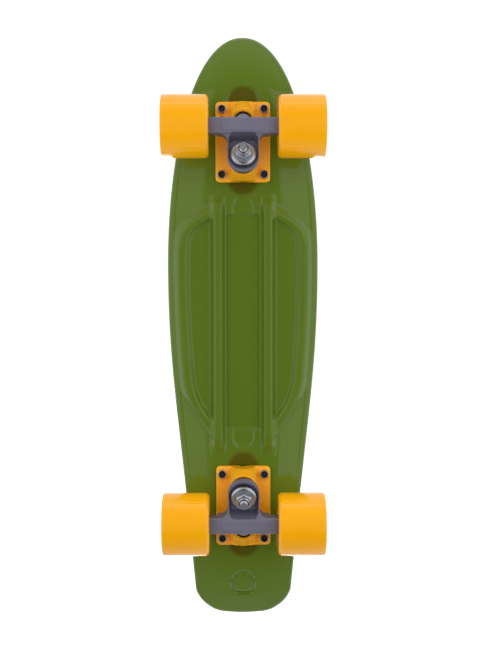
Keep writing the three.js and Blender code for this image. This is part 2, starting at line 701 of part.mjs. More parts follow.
// From +Z to the axle's line across the truck.
function alongAxle(geometry) {
  return geometry.rotateY(Math.PI / 2).translate(0, AXLE_OUTBOARD, -TRUCK_HEIGHT);
}

function kingpin() {
  return turned(
    [
      [0, kingpinTip],
      [KINGPIN_RADIUS - 0.8, kingpinTip],
      [KINGPIN_RADIUS, kingpinTip + 0.8],
      [KINGPIN_RADIUS, kingpinSeat + GAP],
      [KINGPIN_HEAD_RADIUS, kingpinSeat + GAP],
      [KINGPIN_HEAD_RADIUS, kingpinSeat + GAP + KINGPIN_HEAD_HEIGHT],
      [0, kingpinSeat + GAP + KINGPIN_HEAD_HEIGHT],
    ],
    SMALL_FACETS,
  );
}

// A lock nut: a hexagon with a round collar below it, bored for its pin.
function kingpinNut() {
  const hexBottom = kingpinNutTop - KINGPIN_NUT_HEX_HEIGHT;
  const nutBottom = kingpinNutTop - KINGPIN_NUT_HEIGHT;
  const collarRadius = Math.max(KINGPIN_NUT_COLLAR_RADIUS, KINGPIN_RADIUS + PLAY + THIN_WALL);
  const hex = solid(hexagon(KINGPIN_NUT_FLATS, hexBottom, kingpinNutTop));
  const collar = solid(rod(collarRadius, nutBottom, kingpinNutTop, SMALL_FACETS));
  const bore = rod(KINGPIN_RADIUS + PLAY, nutBottom - 1, kingpinNutTop + 1, SMALL_FACETS);
  return hex.add(collar).subtract(solid(bore));
}

// The cup washer: a flat disc with a skirt round the road-side bushing, bored for the kingpin.
function cupWasher() {
  const bore = KINGPIN_RADIUS + PLAY;
  const inside = CUP_WASHER_RADIUS - 2 * CUP_WASHER_WALL;
  const rim = roadWasherTop + CUP_WASHER_SKIRT;
  return turned(
    [
      [bore, roadWasherBottom],
      [CUP_WASHER_RADIUS - CUP_WASHER_WALL, roadWasherBottom],
      [CUP_WASHER_RADIUS, roadWasherTop],
      [CUP_WASHER_RADIUS, rim],
      [inside + CUP_WASHER_WALL, rim],
      [inside, roadWasherTop],
      [bore, roadWasherTop],
      [bore, roadWasherBottom],
    ],
    ROUND_FACETS,
  );
}

// A urethane bushing: a barrel between the yoke and its washer.
function bushing(from, to, bottomRadius, topRadius) {
  const bore = KINGPIN_RADIUS + PLAY;
  const middle = (from + to) / 2;
  const profile = [
    [bore, from],
    [bottomRadius, from],
    [BUSHING_RADIUS, middle],
    [topRadius, to],
    [bore, to],
    [bore, from],
  ];
  return turned(profile, ROUND_FACETS);
}

// The cup that the hanger's pivot stem turns in, closed at its far end.
function pivotCup() {
  return turned(
    [
      ...roundNose(pivotCupInner).reverse(),
      [pivotCupInner + PIVOT_CUP_FLARE, -PIVOT_CUP_DEPTH],
      [pivotCupOuter, -PIVOT_CUP_DEPTH],
      [pivotCupOuter, pivotCupOuter],
      [0, pivotCupOuter],
    ],
    ROUND_FACETS,
  );
}

function bolt() {
  const tip = -BASEPLATE_THICKNESS - GAP - BOLT_NUT_HEIGHT + 0.8;
  const head = DECK_THICKNESS - PLAY;
  const shank = turned(
    [
      [0, tip],
      [BOLT_RADIUS, tip],
      [BOLT_RADIUS, head - BOLT_HEAD_HEIGHT],
      [BOLT_HEAD_RADIUS, head],
      [0, head],
    ],
    SMALL_FACETS,
  );
  const socket = hexagon(BOLT_SOCKET_FLATS, head - BOLT_SOCKET_DEPTH, head + 1);
  return solid(shank).subtract(solid(socket));
}

function boltNut() {
  const top = -BASEPLATE_THICKNESS - GAP;
  const bottom = top - BOLT_NUT_HEIGHT;
  const bore = rod(BOLT_RADIUS + PLAY, bottom - 1, top + 1, SMALL_FACETS);
  return solid(hexagon(BOLT_NUT_FLATS, bottom, top)).subtract(solid(bore));
}

function axle() {
  return alongAxle(
    turned(
      [
        [0, -axleHalf],
        [AXLE_RADIUS - 0.8, -axleHalf],
        [AXLE_RADIUS, -axleHalf + 0.8],
        [AXLE_RADIUS, axleHalf - 0.8],
        [AXLE_RADIUS - 0.8, axleHalf],
        [0, axleHalf],
      ],
      ROUND_FACETS,
    ),
  );
}

// ---------------------------------------------------------------- what sits on one end of the axle
// Made on the +X end; the -X end is the same turned half a turn about Z.

// A urethane wheel: a wide bevel towards the truck, a small round outside, and two bearing seats.
// Its flats, not its corners, lie on the true circle, and one flat faces the ground.
function wheel() {
  const overCorners = 1 / Math.cos(Math.PI / WHEEL_FACETS);
  const half = WHEEL_WIDTH / 2;
  const seat = BEARING_RADIUS + SEAT_PLAY;
  const seatInner = BEARING_SPACER / 2 - SEAT_PLAY;
  const seatOuter = BEARING_SPACER / 2 + BEARING_WIDTH + SEAT_PLAY;
  const round = WHEEL_OUTER_ROUND;
  const profile = [
    [seat - WHEEL_LAND, -seatInner],
    [seat, -seatInner],
    [seat, -seatOuter],
    [WHEEL_RECESS_RADIUS, -seatOuter],
    [WHEEL_RECESS_RADIUS + WHEEL_RECESS_FLARE, -half],
    [WHEEL_RADIUS - WHEEL_INNER_BEVEL, -half],
    [WHEEL_RADIUS - 1, WHEEL_INNER_BEVEL - 1 - half],
    [WHEEL_RADIUS, WHEEL_INNER_BEVEL + 1 - half],
    [WHEEL_RADIUS, half - round],
    [WHEEL_RADIUS - 0.3 * round, half - 0.3 * round],
    [WHEEL_RADIUS - round, half],
    [WHEEL_RECESS_RADIUS + WHEEL_RECESS_FLARE, half],
    [WHEEL_RECESS_RADIUS, seatOuter],
    [seat, seatOuter],
    [seat, seatInner],
    [seat - WHEEL_LAND, seatInner],
    [seat - WHEEL_LAND, -seatInner],
  ];
  const fitted = profile.map(([radius, along]) => [radius * overCorners, along]);
  return turned(fitted, WHEEL_FACETS).rotateZ(Math.PI / WHEEL_FACETS).translate(0, 0, wheelMiddle);
}

function bearing(from) {
  return ring(AXLE_RADIUS + SEAT_PLAY, BEARING_RADIUS, from, from + BEARING_WIDTH, ROUND_FACETS);
}

function axleWasher() {
  const to = outerWasher + AXLE_WASHER_THICKNESS;
  return ring(AXLE_RADIUS + PLAY, AXLE_WASHER_RADIUS, outerWasher, to, ROUND_FACETS);
}

function axleLockNut() {
  const bore = rod(AXLE_RADIUS + PLAY, axleNut - 1, axleNut + AXLE_NUT_HEIGHT + 1, SMALL_FACETS);
  return solid(hexagon(AXLE_NUT_FLATS, axleNut, axleNut + AXLE_NUT_HEIGHT)).subtract(solid(bore));
}

// ---------------------------------------------------------------- putting the board together

// Pieces that share the kingpin's leaning axis.
function kingpinStack(name) {
  const stack = new THREE.Group();
  const roadBottom = -yokeHalf - GAP - ROAD_BUSHING_HEIGHT;
  const boardTop = yokeHalf + GAP + BOARD_BUSHING_HEIGHT;
  const washerBore = KINGPIN_RADIUS + PLAY;
  const boardWasher = ring(washerBore, BOARD_WASHER_RADIUS, boardWasherBottom, boardWasherTop, ROUND_FACETS);
  const boardBushing = bushing(yokeHalf + GAP, boardTop, BUSHING_RADIUS, BUSHING_END_RADIUS);
  const roadBushing = bushing(roadBottom, -yokeHalf - GAP, BUSHING_END_RADIUS, BUSHING_RADIUS);
  stack.add(piece(`${name}_kingpin`, kingpin(), zincSteel));
  stack.add(piece(`${name}_kingpin_nut`, kingpinNut(), zincSteel));
  stack.add(piece(`${name}_board_washer`, boardWasher, zincSteel));
  stack.add(piece(`${name}_road_cup_washer`, cupWasher(), zincSteel));
  stack.add(piece(`${name}_board_bushing`, boardBushing, bushingRubber));
  stack.add(piece(`${name}_road_bushing`, roadBushing, bushingRubber));
  stack.applyMatrix4(kingpinFrame);
  return stack;
}

// The wheel with its bearings, washer and nut on one end of the axle.
function wheelEnd(name) {
  const end = new THREE.Group();
  end.add(piece(`${name}_wheel`, wheel(), wheelUrethane));
  end.add(piece(`${name}_inner_bearing`, bearing(innerBearing), zincSteel));
  end.add(piece(`${name}_outer_bearing`, bearing(outerBearing), zincSteel));
  end.add(piece(`${name}_axle_washer`, axleWasher(), zincSteel));
  end.add(piece(`${name}_axle_nut`, axleLockNut(), zincSteel));
  for (const mesh of end.children) alongAxle(mesh.geometry);
  return end;
}

// A whole truck. heading is 1 for the front, with +Y towards the nose, and -1 for the rear.
function truck(name, heading) {
  const group = new THREE.Group();
  group.add(piece(`${name}_baseplate`, baseplate(), platePaint));
  group.add(piece(`${name}_hanger`, hanger(), castMetal));
  group.add(piece(`${name}_axle`, axle(), zincSteel));
  group.add(piece(`${name}_pivot_cup`, pivotCup().applyMatrix4(pivotFrame), cupNylon));
  group.add(kingpinStack(name));
  for (const side of [1, -1]) {
    const end = wheelEnd(`${name}_${side * heading > 0 ? "right" : "left"}`);
    if (side < 0) {
      for (const mesh of end.children) {
        mesh.geometry.translate(0, -AXLE_OUTBOARD, 0).rotateZ(Math.PI).translate(0, AXLE_OUTBOARD, 0);
      }
    }
    group.add(end);
  }
  boltPlaces().forEach(([x, y], i) => {
    const screw = piece(`${name}_bolt_${i + 1}`, bolt(), zincSteel);
    const nut = piece(`${name}_bolt_nut_${i + 1}`, boltNut(), zincSteel);
    screw.position.set(x, y, 0);
    nut.position.set(x, y, 0);
    group.add(screw, nut);
  });
  group.position.set(0, heading * truckY, deckUnderside);
  if (heading < 0) group.rotation.z = Math.PI;
  return group;
}

function skateboard() {
  const board = new THREE.Group();
  board.add(piece("deck", deck(), deckPlastic));
  board.add(truck("front", 1));
  board.add(truck("rear", -1));
  board.position.y = TAIL_EXTRA / 2;
  return board;
}

export default skateboard();
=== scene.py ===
# %% [markdown]
# # A plastic mini-cruiser skateboard, finished in Blender
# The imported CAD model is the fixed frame: it says where every piece of the board is and which body it moves
# with. This lesson rebuilds each visible piece with finer shape and a real finish, exactly where the frame
# has it. Everything is in metres, +Z up, +Y towards the nose.

# %% Load the frame
import math

import bpy
from mathutils import Matrix, Vector
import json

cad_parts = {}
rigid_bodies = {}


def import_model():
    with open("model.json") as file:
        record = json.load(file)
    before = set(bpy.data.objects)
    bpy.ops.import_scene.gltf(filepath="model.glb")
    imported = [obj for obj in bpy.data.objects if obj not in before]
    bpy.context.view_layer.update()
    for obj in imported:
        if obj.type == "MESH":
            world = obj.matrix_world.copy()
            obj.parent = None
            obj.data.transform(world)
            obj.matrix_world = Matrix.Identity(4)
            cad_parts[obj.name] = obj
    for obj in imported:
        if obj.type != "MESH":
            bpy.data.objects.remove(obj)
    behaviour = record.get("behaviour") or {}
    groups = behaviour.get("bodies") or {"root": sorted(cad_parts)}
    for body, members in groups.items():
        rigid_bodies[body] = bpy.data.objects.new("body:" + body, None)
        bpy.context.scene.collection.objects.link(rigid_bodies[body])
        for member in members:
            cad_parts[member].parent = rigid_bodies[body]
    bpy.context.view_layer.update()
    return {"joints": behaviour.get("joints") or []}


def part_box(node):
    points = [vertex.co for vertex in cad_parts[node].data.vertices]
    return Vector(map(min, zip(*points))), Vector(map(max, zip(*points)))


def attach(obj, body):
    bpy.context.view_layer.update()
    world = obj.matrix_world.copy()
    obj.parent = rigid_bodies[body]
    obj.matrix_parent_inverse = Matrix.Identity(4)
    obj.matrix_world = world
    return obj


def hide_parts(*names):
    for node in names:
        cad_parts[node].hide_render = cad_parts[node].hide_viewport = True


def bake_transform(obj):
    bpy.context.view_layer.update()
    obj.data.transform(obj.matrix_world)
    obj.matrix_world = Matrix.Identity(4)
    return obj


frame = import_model()
MM = 0.001

# %% [markdown]
# ## Places taken from the frame
# A maker measures before cutting. The deck, one baseplate, one wheel and the steering joint give every place
# that the finer pieces need, so nothing here repeats the CAD model's own numbers.

# %% Measure the board
deck_low, deck_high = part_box("deck")
plate_low, plate_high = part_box("front_baseplate")
wheel_low, wheel_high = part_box("front_right_wheel")
axle_low, axle_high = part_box("front_axle")
rear_low, rear_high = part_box("rear_baseplate")
LENGTH = deck_high.y - deck_low.y
HALF_WIDTH = deck_high.x
TRUCK_Y = (plate_low.y + plate_high.y) / 2
REAR_TRUCK_Y = (rear_low.y + rear_high.y) / 2
MIDDLE_Y = (TRUCK_Y + REAR_TRUCK_Y) / 2
UNDERSIDE = plate_high.z + 0.3 * MM
THICKNESS = 8 * MM
DECK_TOP = UNDERSIDE + THICKNESS
AXLE_Z = (axle_low.z + axle_high.z) / 2
AXLE_Y = (axle_low.y + axle_high.y) / 2
WHEEL_RADIUS = AXLE_Z
WHEEL_MIDDLE = (wheel_low.x + wheel_high.x) / 2
WHEEL_HALF = (wheel_high.x - wheel_low.x) / 2
steer = next(j for j in frame["joints"] if j["name"] == "front_steer")
YOKE = Vector(steer["pos_m"])
STEER_AXIS = Vector(steer["axis"]).normalized()
print("deck", round(LENGTH / MM), "by", round(2 * HALF_WIDTH / MM), "mm; axles at", round(AXLE_Y / MM))

# %% [markdown]
# ## Hand tools
# Blender's operators act on whatever is selected, so each helper first deselects everything, then selects
# just what it works on. A turned piece is a profile spun round an axis with the spin operator; a slab is a
# flat outline given thickness with the extrude operator; pieces are joined and cut with Boolean modifiers.

# %% Selecting, editing and finishing
def pick(piece):
    """Makes one object the only selected and the active one."""
    for other in bpy.context.view_layer.objects:
        other.select_set(False)
    piece.select_set(True)
    bpy.context.view_layer.objects.active = piece
    return piece


def new_piece(name, points, edges, faces):
    """An object from points in millimetres."""
    mesh = bpy.data.meshes.new(name)
    mesh.from_pydata([Vector(p) * MM for p in points], edges, faces)
    piece = bpy.data.objects.new(name, mesh)
    bpy.context.scene.collection.objects.link(piece)
    return pick(piece)


def tidy_mesh(piece, merge=0.002 * MM):
    """Merges doubles and turns every face outwards."""
    pick(piece)
    bpy.ops.object.mode_set(mode="EDIT")
    bpy.ops.mesh.select_all(action="SELECT")
    bpy.ops.mesh.remove_doubles(threshold=merge)
    bpy.ops.mesh.normals_make_consistent(inside=False)
    bpy.ops.object.mode_set(mode="OBJECT")
    return piece


def settle(piece):
    """Bakes an object's own place, turn and size into its mesh."""
    piece.data.transform(piece.matrix_world)
    piece.matrix_world = Matrix.Identity(4)
    return piece


def apply_modifier(piece, kind, **settings):
    """Adds a modifier with its settings and applies it."""
    pick(piece)
    modifier = piece.modifiers.new(kind, kind)
    for key, value in settings.items():
        setattr(modifier, key, value)
    bpy.ops.object.modifier_apply(modifier=modifier.name)
    return piece


def smooth(piece, angle=35):
    """Shades curved stretches smooth and keeps real edges sharp."""
    pick(piece)
    bpy.ops.object.shade_smooth_by_angle(angle=math.radians(angle))
    return piece


def combine(piece, tool, operation):
    """Joins, cuts or intersects with another closed piece, which is used up."""
    apply_modifier(piece, "BOOLEAN", object=tool, operation=operation, solver="EXACT")
    bpy.data.objects.remove(tool)
    return piece


# %% Turned pieces, slabs and blocks
def filleted(profile, radius, closed=False):
    """Rounds every corner of a profile with a short arc, limited by its neighbours."""
    rounded = []
    count = len(profile)
    for i, (r, h) in enumerate(profile):
        here = Vector((r, h))
        if not closed and i in (0, count - 1):
            rounded.append((r, h))
            continue
        before = Vector(profile[i - 1]) - here
        after = Vector(profile[(i + 1) % count]) - here
        reach = min(radius, before.length * 0.45, after.length * 0.45)
        start = here + before.normalized() * reach
        stop = here + after.normalized() * reach
        for step in range(4):
            t = step / 3
            rounded.append(tuple(start * (1 - t) ** 2 + here * 2 * t * (1 - t) + stop * t ** 2))
    return rounded


def turned(name, profile, closed=False, fillet=0.0, steps=64):
    """Spins a (radius, height) profile in millimetres once round the Z axis."""
    if fillet:
        profile = filleted(profile, fillet, closed)
    points = [(r, 0, h) for r, h in profile]
    edges = [(i, i + 1) for i in range(len(points) - 1)]
    if closed:
        edges.append((len(points) - 1, 0))
    piece = new_piece(name, points, edges, [])
    bpy.ops.object.mode_set(mode="EDIT")
    bpy.ops.mesh.select_all(action="SELECT")
    bpy.ops.mesh.spin(steps=steps, angle=2 * math.pi, center=(0, 0, 0), axis=(0, 0, 1))
    bpy.ops.object.mode_set(mode="OBJECT")
    return tidy_mesh(piece)


def slab(name, outline, low, high):
    """A flat (x, y) outline in millimetres, extruded from one height to another."""
    points = [(x, y, low) for x, y in outline]
    piece = new_piece(name, points, [], [tuple(range(len(points)))])
    bpy.ops.object.mode_set(mode="EDIT")
    bpy.ops.mesh.select_all(action="SELECT")
    lift = (0, 0, (high - low) * MM)
    bpy.ops.mesh.extrude_region_move(TRANSFORM_OT_translate={"value": lift})
    bpy.ops.object.mode_set(mode="OBJECT")
    return tidy_mesh(piece)


def block(name, size, middle, bevel=0.0, segments=3):
    """A box in millimetres with all its edges bevelled."""
    bpy.ops.object.select_all(action="DESELECT")
    bpy.ops.mesh.primitive_cube_add(size=1, location=Vector(middle) * MM)
    piece = bpy.context.object
    piece.name = name
    piece.scale = Vector(size) * MM
    bpy.context.view_layer.update()
    settle(piece)
    if bevel:
        pick(piece)
        bpy.ops.object.mode_set(mode="EDIT")
        bpy.ops.mesh.select_all(action="SELECT")
        bpy.ops.mesh.bevel(offset=bevel * MM, segments=segments, affect="EDGES")
        bpy.ops.object.mode_set(mode="OBJECT")
    return piece


def prism(name, sides, flats, low, high):
    """A regular prism about Z, measured across its flats."""
    bpy.ops.object.select_all(action="DESELECT")
    bpy.ops.mesh.primitive_cylinder_add(
        vertices=sides,
        radius=flats / 2 / math.cos(math.pi / sides) * MM,
        depth=(high - low) * MM,
        location=(0, 0, (low + high) / 2 * MM),
    )
    piece = bpy.context.object
    piece.name = name
    return settle(piece)


def moved(piece, matrix):
    """Puts a piece's mesh where a matrix says."""
    piece.data.transform(matrix)
    if matrix.determinant() < 0:
        tidy_mesh(piece)
    return piece


def cast_skin(piece, voxel, passes, strength=0.5):
    """Fuses a joined piece into one skin with the soft edges that a casting has."""
    apply_modifier(piece, "REMESH", mode="VOXEL", voxel_size=voxel * MM, use_smooth_shade=True)
    apply_modifier(piece, "SMOOTH", factor=strength, iterations=passes)
    return smooth(piece, 60)


# %% [markdown]
# ## Shader sums
# A finish is easier to read when its sums look like sums. `Sum` wraps one shader socket: adding or
# multiplying it adds the Math node. `Finish` starts a material and adds any other node in one call.

# %% Writing materials as expressions
class Sum:
    """A shader value that can be added to and multiplied."""

    def __init__(self, tree, socket):
        self.tree = tree
        self.socket = socket

    def _math(self, operation, *values):
        node = self.tree.nodes.new("ShaderNodeMath")
        node.operation = operation
        for i, value in enumerate(values):
            if isinstance(value, Sum):
                self.tree.links.new(value.socket, node.inputs[i])
            else:
                node.inputs[i].default_value = value
        return Sum(self.tree, node.outputs[0])

    def __add__(self, other):
        return self._math("ADD", self, other)

    __radd__ = __add__

    def __mul__(self, other):
        return self._math("MULTIPLY", self, other)

    __rmul__ = __mul__

    def __sub__(self, other):
        return self._math("SUBTRACT", self, other)

    def __rsub__(self, other):
        return self._math("SUBTRACT", other, self)


class Finish:
    """A new material with a Principled shader, and short calls for its other nodes."""

    def __init__(self, name, **uniform):
        self.material = bpy.data.materials.new(name)
        self.material.use_nodes = True
        self.tree = self.material.node_tree
        self.shader = self.tree.nodes["Principled BSDF"]
        for socket, value in uniform.items():
            self.shader.inputs[socket.replace("_", " ")].default_value = value

    def node(self, kind, settings=None, output=0, **sockets):
        """Adds a node: settings first, then the values or links of its sockets."""
        made = self.tree.nodes.new(kind)
        for key, value in (settings or {}).items():
            setattr(made, key, value)
        for key, value in sockets.items():
            place = int(key[1:]) if key[0] == "i" and key[1:].isdigit() else key.replace("_", " ")
            if isinstance(value, Sum):
                self.tree.links.new(value.socket, made.inputs[place])
            else:
                made.inputs[place].default_value = value
        return Sum(self.tree, made.outputs[output])

    def noise(self, scale, detail=3.0, roughness=0.5, stretch=None):
        """Noise over the piece's own coordinates, in cells per metre."""
        place = self.node("ShaderNodeTexCoord", output="Object")
        if stretch:
            place = self.node("ShaderNodeMapping", Vector=place, Scale=stretch)
        return self.node(
            "ShaderNodeTexNoise", Vector=place, Scale=scale, Detail=detail, Roughness=roughness
        )

    def range(self, value, low, high, to_low=0.0, to_high=1.0):
        """Spreads a stretch of values over a new stretch."""
        return self.node(
            "ShaderNodeMapRange", Value=value, From_Min=low, From_Max=high, To_Min=to_low, To_Max=to_high
        )

    def blend(self, mask, first, second):
        """Mixes two colours by a mask."""
        settings = {"data_type": "RGBA"}
        return self.node("ShaderNodeMix", settings, output=2, i0=mask, i6=first, i7=second)

    def bump(self, height, distance, strength=1.0):
        """Feeds the shader's Normal with a relief of a real height in metres."""
        relief = self.node("ShaderNodeBump", Height=height, Distance=distance, Strength=strength)
        self.tree.links.new(relief.socket, self.shader.inputs["Normal"])

    def feed(self, socket, value):
        """Links a value to one of the shader's sockets."""
        self.tree.links.new(value.socket, self.shader.inputs[socket])


# %% [markdown]
# ## Finishes
# The deck is injection-moulded polypropylene: one deep olive colour, a clear gloss from the polished mould and
# a very faint flow texture. The colour varies by a few per cent where the melt met, never in a sharp edge.
# The shallow pads under the trucks are painted a dark brown olive: painted shade and a painted reflection of
# the yellow baseplates.

# %% Olive deck plastic
def deck_plastic():
    finish = Finish("olive_polypropylene", IOR=1.49)
    flow = finish.noise(9, 4, 0.55, (1, 0.35, 1))
    fine = finish.noise(420, 3)
    tone = finish.range(flow, 0.3, 0.7)
    colour = finish.blend(tone, (0.097, 0.163, 0.0105, 1), (0.104, 0.174, 0.012, 1))
    # The shallow pads under the trucks turn a dark brown olive: painted shade and a painted reflection of the yellow
    # baseplates, read from the deck's 'hollow' attribute.
    hollow = finish.node("ShaderNodeAttribute", {"attribute_name": "hollow"}, output="Fac")
    colour = finish.blend(hollow, colour, (0.08, 0.082, 0.002, 1))
    finish.feed("Base Color", colour)
    finish.feed("Roughness", finish.range(flow, 0.3, 0.7, 0.07, 0.11))
    finish.bump(fine * 0.2 + flow, 0.00002)
    return finish.material


def grip_plastic():
    finish = Finish("olive_grip", Roughness=0.45, IOR=1.49)
    grain = finish.noise(900, 4)
    wear = finish.noise(14, 5, 0.6)
    colour = finish.blend(finish.range(wear, 0.35, 0.7), (0.086, 0.147, 0.008, 1), (0.11, 0.18, 0.018, 1))
    finish.feed("Base Color", colour)
    finish.feed("Roughness", finish.range(wear, 0.3, 0.7, 0.38, 0.55))
    finish.bump(grain, 0.00008)
    return finish.material


# %% [markdown]
# Wheels are cast urethane. The colour goes right through, the skin is glossy, and the moulded tread
# is a touch less polished than the bevels; this finish gives both the same polish, varied a little by noise. A slow
# noise shifts the tone slightly, as poured urethane does.

# %% Yellow-orange urethane
def wheel_urethane():
    finish = Finish("yellow_urethane", IOR=1.45)
    cloud = finish.noise(22, 3, 0.5)
    fine = finish.noise(600, 2)
    tone = finish.range(cloud, 0.3, 0.7)
    finish.feed("Base Color", finish.blend(tone, (0.915, 0.395, 0.0008, 1), (0.945, 0.42, 0.001, 1)))
    finish.feed("Roughness", finish.range(cloud, 0.3, 0.7, 0.12, 0.17))
    finish.bump(fine * 0.4 + cloud, 0.00005)
    return finish.material


# %% [markdown]
# Baseplates are castings under a smooth yellow-orange paint. Paint fills the grain, so the relief is low and
# soft; it pulls thinner over edges, but here a slow noise gives the slightly lighter tone in patches, and the grain
# varies the gloss.

# %% Painted casting, bare casting
def plate_paint():
    finish = Finish("yellow_paint", IOR=1.45)
    grain = finish.noise(260, 4, 0.6)
    cloud = finish.noise(30, 3)
    tone = finish.range(cloud, 0.3, 0.7)
    finish.feed("Base Color", finish.blend(tone, (0.93, 0.4, 0.006, 1), (0.96, 0.43, 0.01, 1)))
    finish.feed("Roughness", finish.range(grain, 0.3, 0.7, 0.22, 0.3))
    finish.bump(grain, 0.00006)
    return finish.material


def cast_metal():
    finish = Finish("grey_casting", Metallic=0.35, IOR=1.5)
    grain = finish.noise(700, 5, 0.65)
    cloud = finish.noise(35, 4)
    tone = finish.range(cloud, 0.3, 0.7)
    finish.feed("Base Color", finish.blend(tone, (0.162, 0.158, 0.222, 1), (0.19, 0.186, 0.257, 1)))
    finish.feed("Roughness", finish.range(grain, 0.3, 0.7, 0.42, 0.58))
    finish.bump(grain + cloud, 0.00009)
    return finish.material


# %% [markdown]
# Fasteners are zinc plated: bright, a little cloudy, with faint turning marks. Stretching the noise along one
# axis turns it into those marks. Bearing steel is the same idea, ground finer.

# %% Plated and ground steel
def bright_steel(name, light, dark, rough, marks):
    finish = Finish(name, Metallic=1.0)
    cloud = finish.noise(160, 3)
    turning = finish.noise(marks, 2, 0.5, (0.15, 0.15, 1))
    tone = finish.range(cloud, 0.3, 0.7)
    finish.feed("Base Color", finish.blend(tone, light, dark))
    finish.feed("Roughness", finish.range(turning, 0.3, 0.7, rough, rough + 0.06))
    return finish.material


def soft_black(name, colour, light, rough):
    finish = Finish(name, IOR=1.5)
    grain = finish.noise(500, 4)
    tone = finish.range(grain, 0.3, 0.7)
    finish.feed("Base Color", finish.blend(tone, colour, light))
    finish.feed("Roughness", finish.range(grain, 0.3, 0.7, rough, rough + 0.15))
    finish.bump(grain, 0.00005)
    return finish.material


FINISHES = {
    "deck_plastic": deck_plastic(),
    "grip": grip_plastic(),
    "wheel_urethane": wheel_urethane(),
    "plate_paint": plate_paint(),
    "cast_metal": cast_metal(),
    "plated_steel": bright_steel("zinc_plate", (0.6, 0.61, 0.65, 1), (0.5, 0.51, 0.56, 1), 0.26, 2500),
    "bearing_steel": bright_steel("ground_steel", (0.62, 0.62, 0.62, 1), (0.5, 0.5, 0.52, 1), 0.22, 4000),
    "bushing_urethane": soft_black("bushing_urethane", (0.012, 0.012, 0.013, 1), (0.03, 0.03, 0.032, 1), 0.4),
    "black_steel": soft_black("black_oxide", (0.008, 0.008, 0.01, 1), (0.02, 0.02, 0.024, 1), 0.3),
    "cup_nylon": soft_black("black_nylon", (0.006, 0.006, 0.007, 1), (0.015, 0.015, 0.016, 1), 0.35),
}
print("finishes:", len(FINISHES))

# %% [markdown]
# ## Handing a finished piece over
# Each piece rides on its CAD body, stands for the CAD nodes that it improves on, and takes the finish listed
# for its material slot, or the look given in its place. A truck is modelled once, about the middle of its baseplate,
# then copied to both ends.

# %% Placing pieces on the board
def hand_over(piece, body, slot, *nodes, look=None):
    piece.data.materials.clear()
    piece.data.materials.append(FINISHES[look or slot])
    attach(piece, body)
    if nodes:
        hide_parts(*nodes)
    return piece


def copy_of(piece, name, matrix):
    """A copy with its own mesh, put in place by a matrix."""
    twin = bpy.data.objects.new(name, piece.data.copy())
    bpy.context.scene.collection.objects.link(twin)
    return moved(twin, matrix)


# The truck's own axes: origin on the deck's underside, +Y outboard. Pieces are made in them.
TRUCK_PLACES = {
    "front": Matrix.Translation((0, TRUCK_Y, UNDERSIDE)),
    "rear": Matrix.Translation((0, REAR_TRUCK_Y, UNDERSIDE)) @ Matrix.Rotation(math.pi, 4, "Z"),
}
LEAN = math.atan2(STEER_AXIS.z, STEER_AXIS.y)
KINGPIN_AXES = Matrix.Translation((0, YOKE.y - TRUCK_Y, YOKE.z - UNDERSIDE)) @ Matrix.Rotation(LEAN, 4, "X")
AXLE_OUT = (AXLE_Y - TRUCK_Y) / MM
AXLE_DROP = (AXLE_Z - UNDERSIDE) / MM
AXLE_LINE = Matrix.Translation((0, AXLE_OUT * MM, AXLE_DROP * MM)) @ Matrix.Rotation(math.pi / 2, 4, "Y")


def to_both_trucks(piece, name, body, slot, node=None, axes=Matrix.Identity(4), look=None):
    """Copies a truck piece to the front and rear; body is 'board', or 'truck' for what steers."""
    made = []
    for end, place in TRUCK_PLACES.items():
        twin = copy_of(piece, f"{end}_{name}_shape", place @ axes)
        rides = "board" if body == "board" else f"{end}_truck"
        made.append(hand_over(smooth(twin), rides, slot, *([f"{end}_{node}"] if node else []), look=look))
    bpy.data.objects.remove(piece)
    return made


# %% [markdown]
# ## The deck
# The real deck is one injection moulding. Its underside isn't a plain sheet: two long ribs stiffen it, with a
# flat channel between them, and on each side a hollow sits inside a raised shoulder. A skin of that kind is
# best made from a rule: for any place on the deck, one function says how far the underside stands out.
# Laying a grid over the outline and lifting each point by the rule gives soft mould radii everywhere.

# %% Outline of the deck
import numpy as np

NOSE, TAIL = (deck_high.y - MIDDLE_Y) / MM, (deck_low.y - MIDDLE_Y) / MM
WIDE = HALF_WIDTH / MM
TAIL_HALF, TAIL_SIDE, TAIL_FLAT = 48.2, 26, 26
WIDEST_Y = 59
END_START = 222.5
TOP, UNDER = DECK_TOP / MM, UNDERSIDE / MM
SPINE_END = 215
FLAT_HALF = 28


def curve(points, steps):
    """A Bezier curve through two or more control points."""
    t = np.linspace(0, 1, steps)[:, None]
    rows = [np.array(p, float) for p in points]
    while len(rows) > 1:
        rows = [a * (1 - t) + b * t for a, b in zip(rows, rows[1:])]
    return rows[0]


def cut_corners(points, rounds=3):
    """Cuts the corners of an open line again and again until it runs smoothly; its ends stay."""
    for _ in range(rounds):
        before, after = points[:-1], points[1:]
        cut = np.stack([before * 0.75 + after * 0.25, before * 0.25 + after * 0.75], axis=1).reshape(-1, 2)
        points = np.concatenate([points[:1], cut, points[-1:]])
    return points


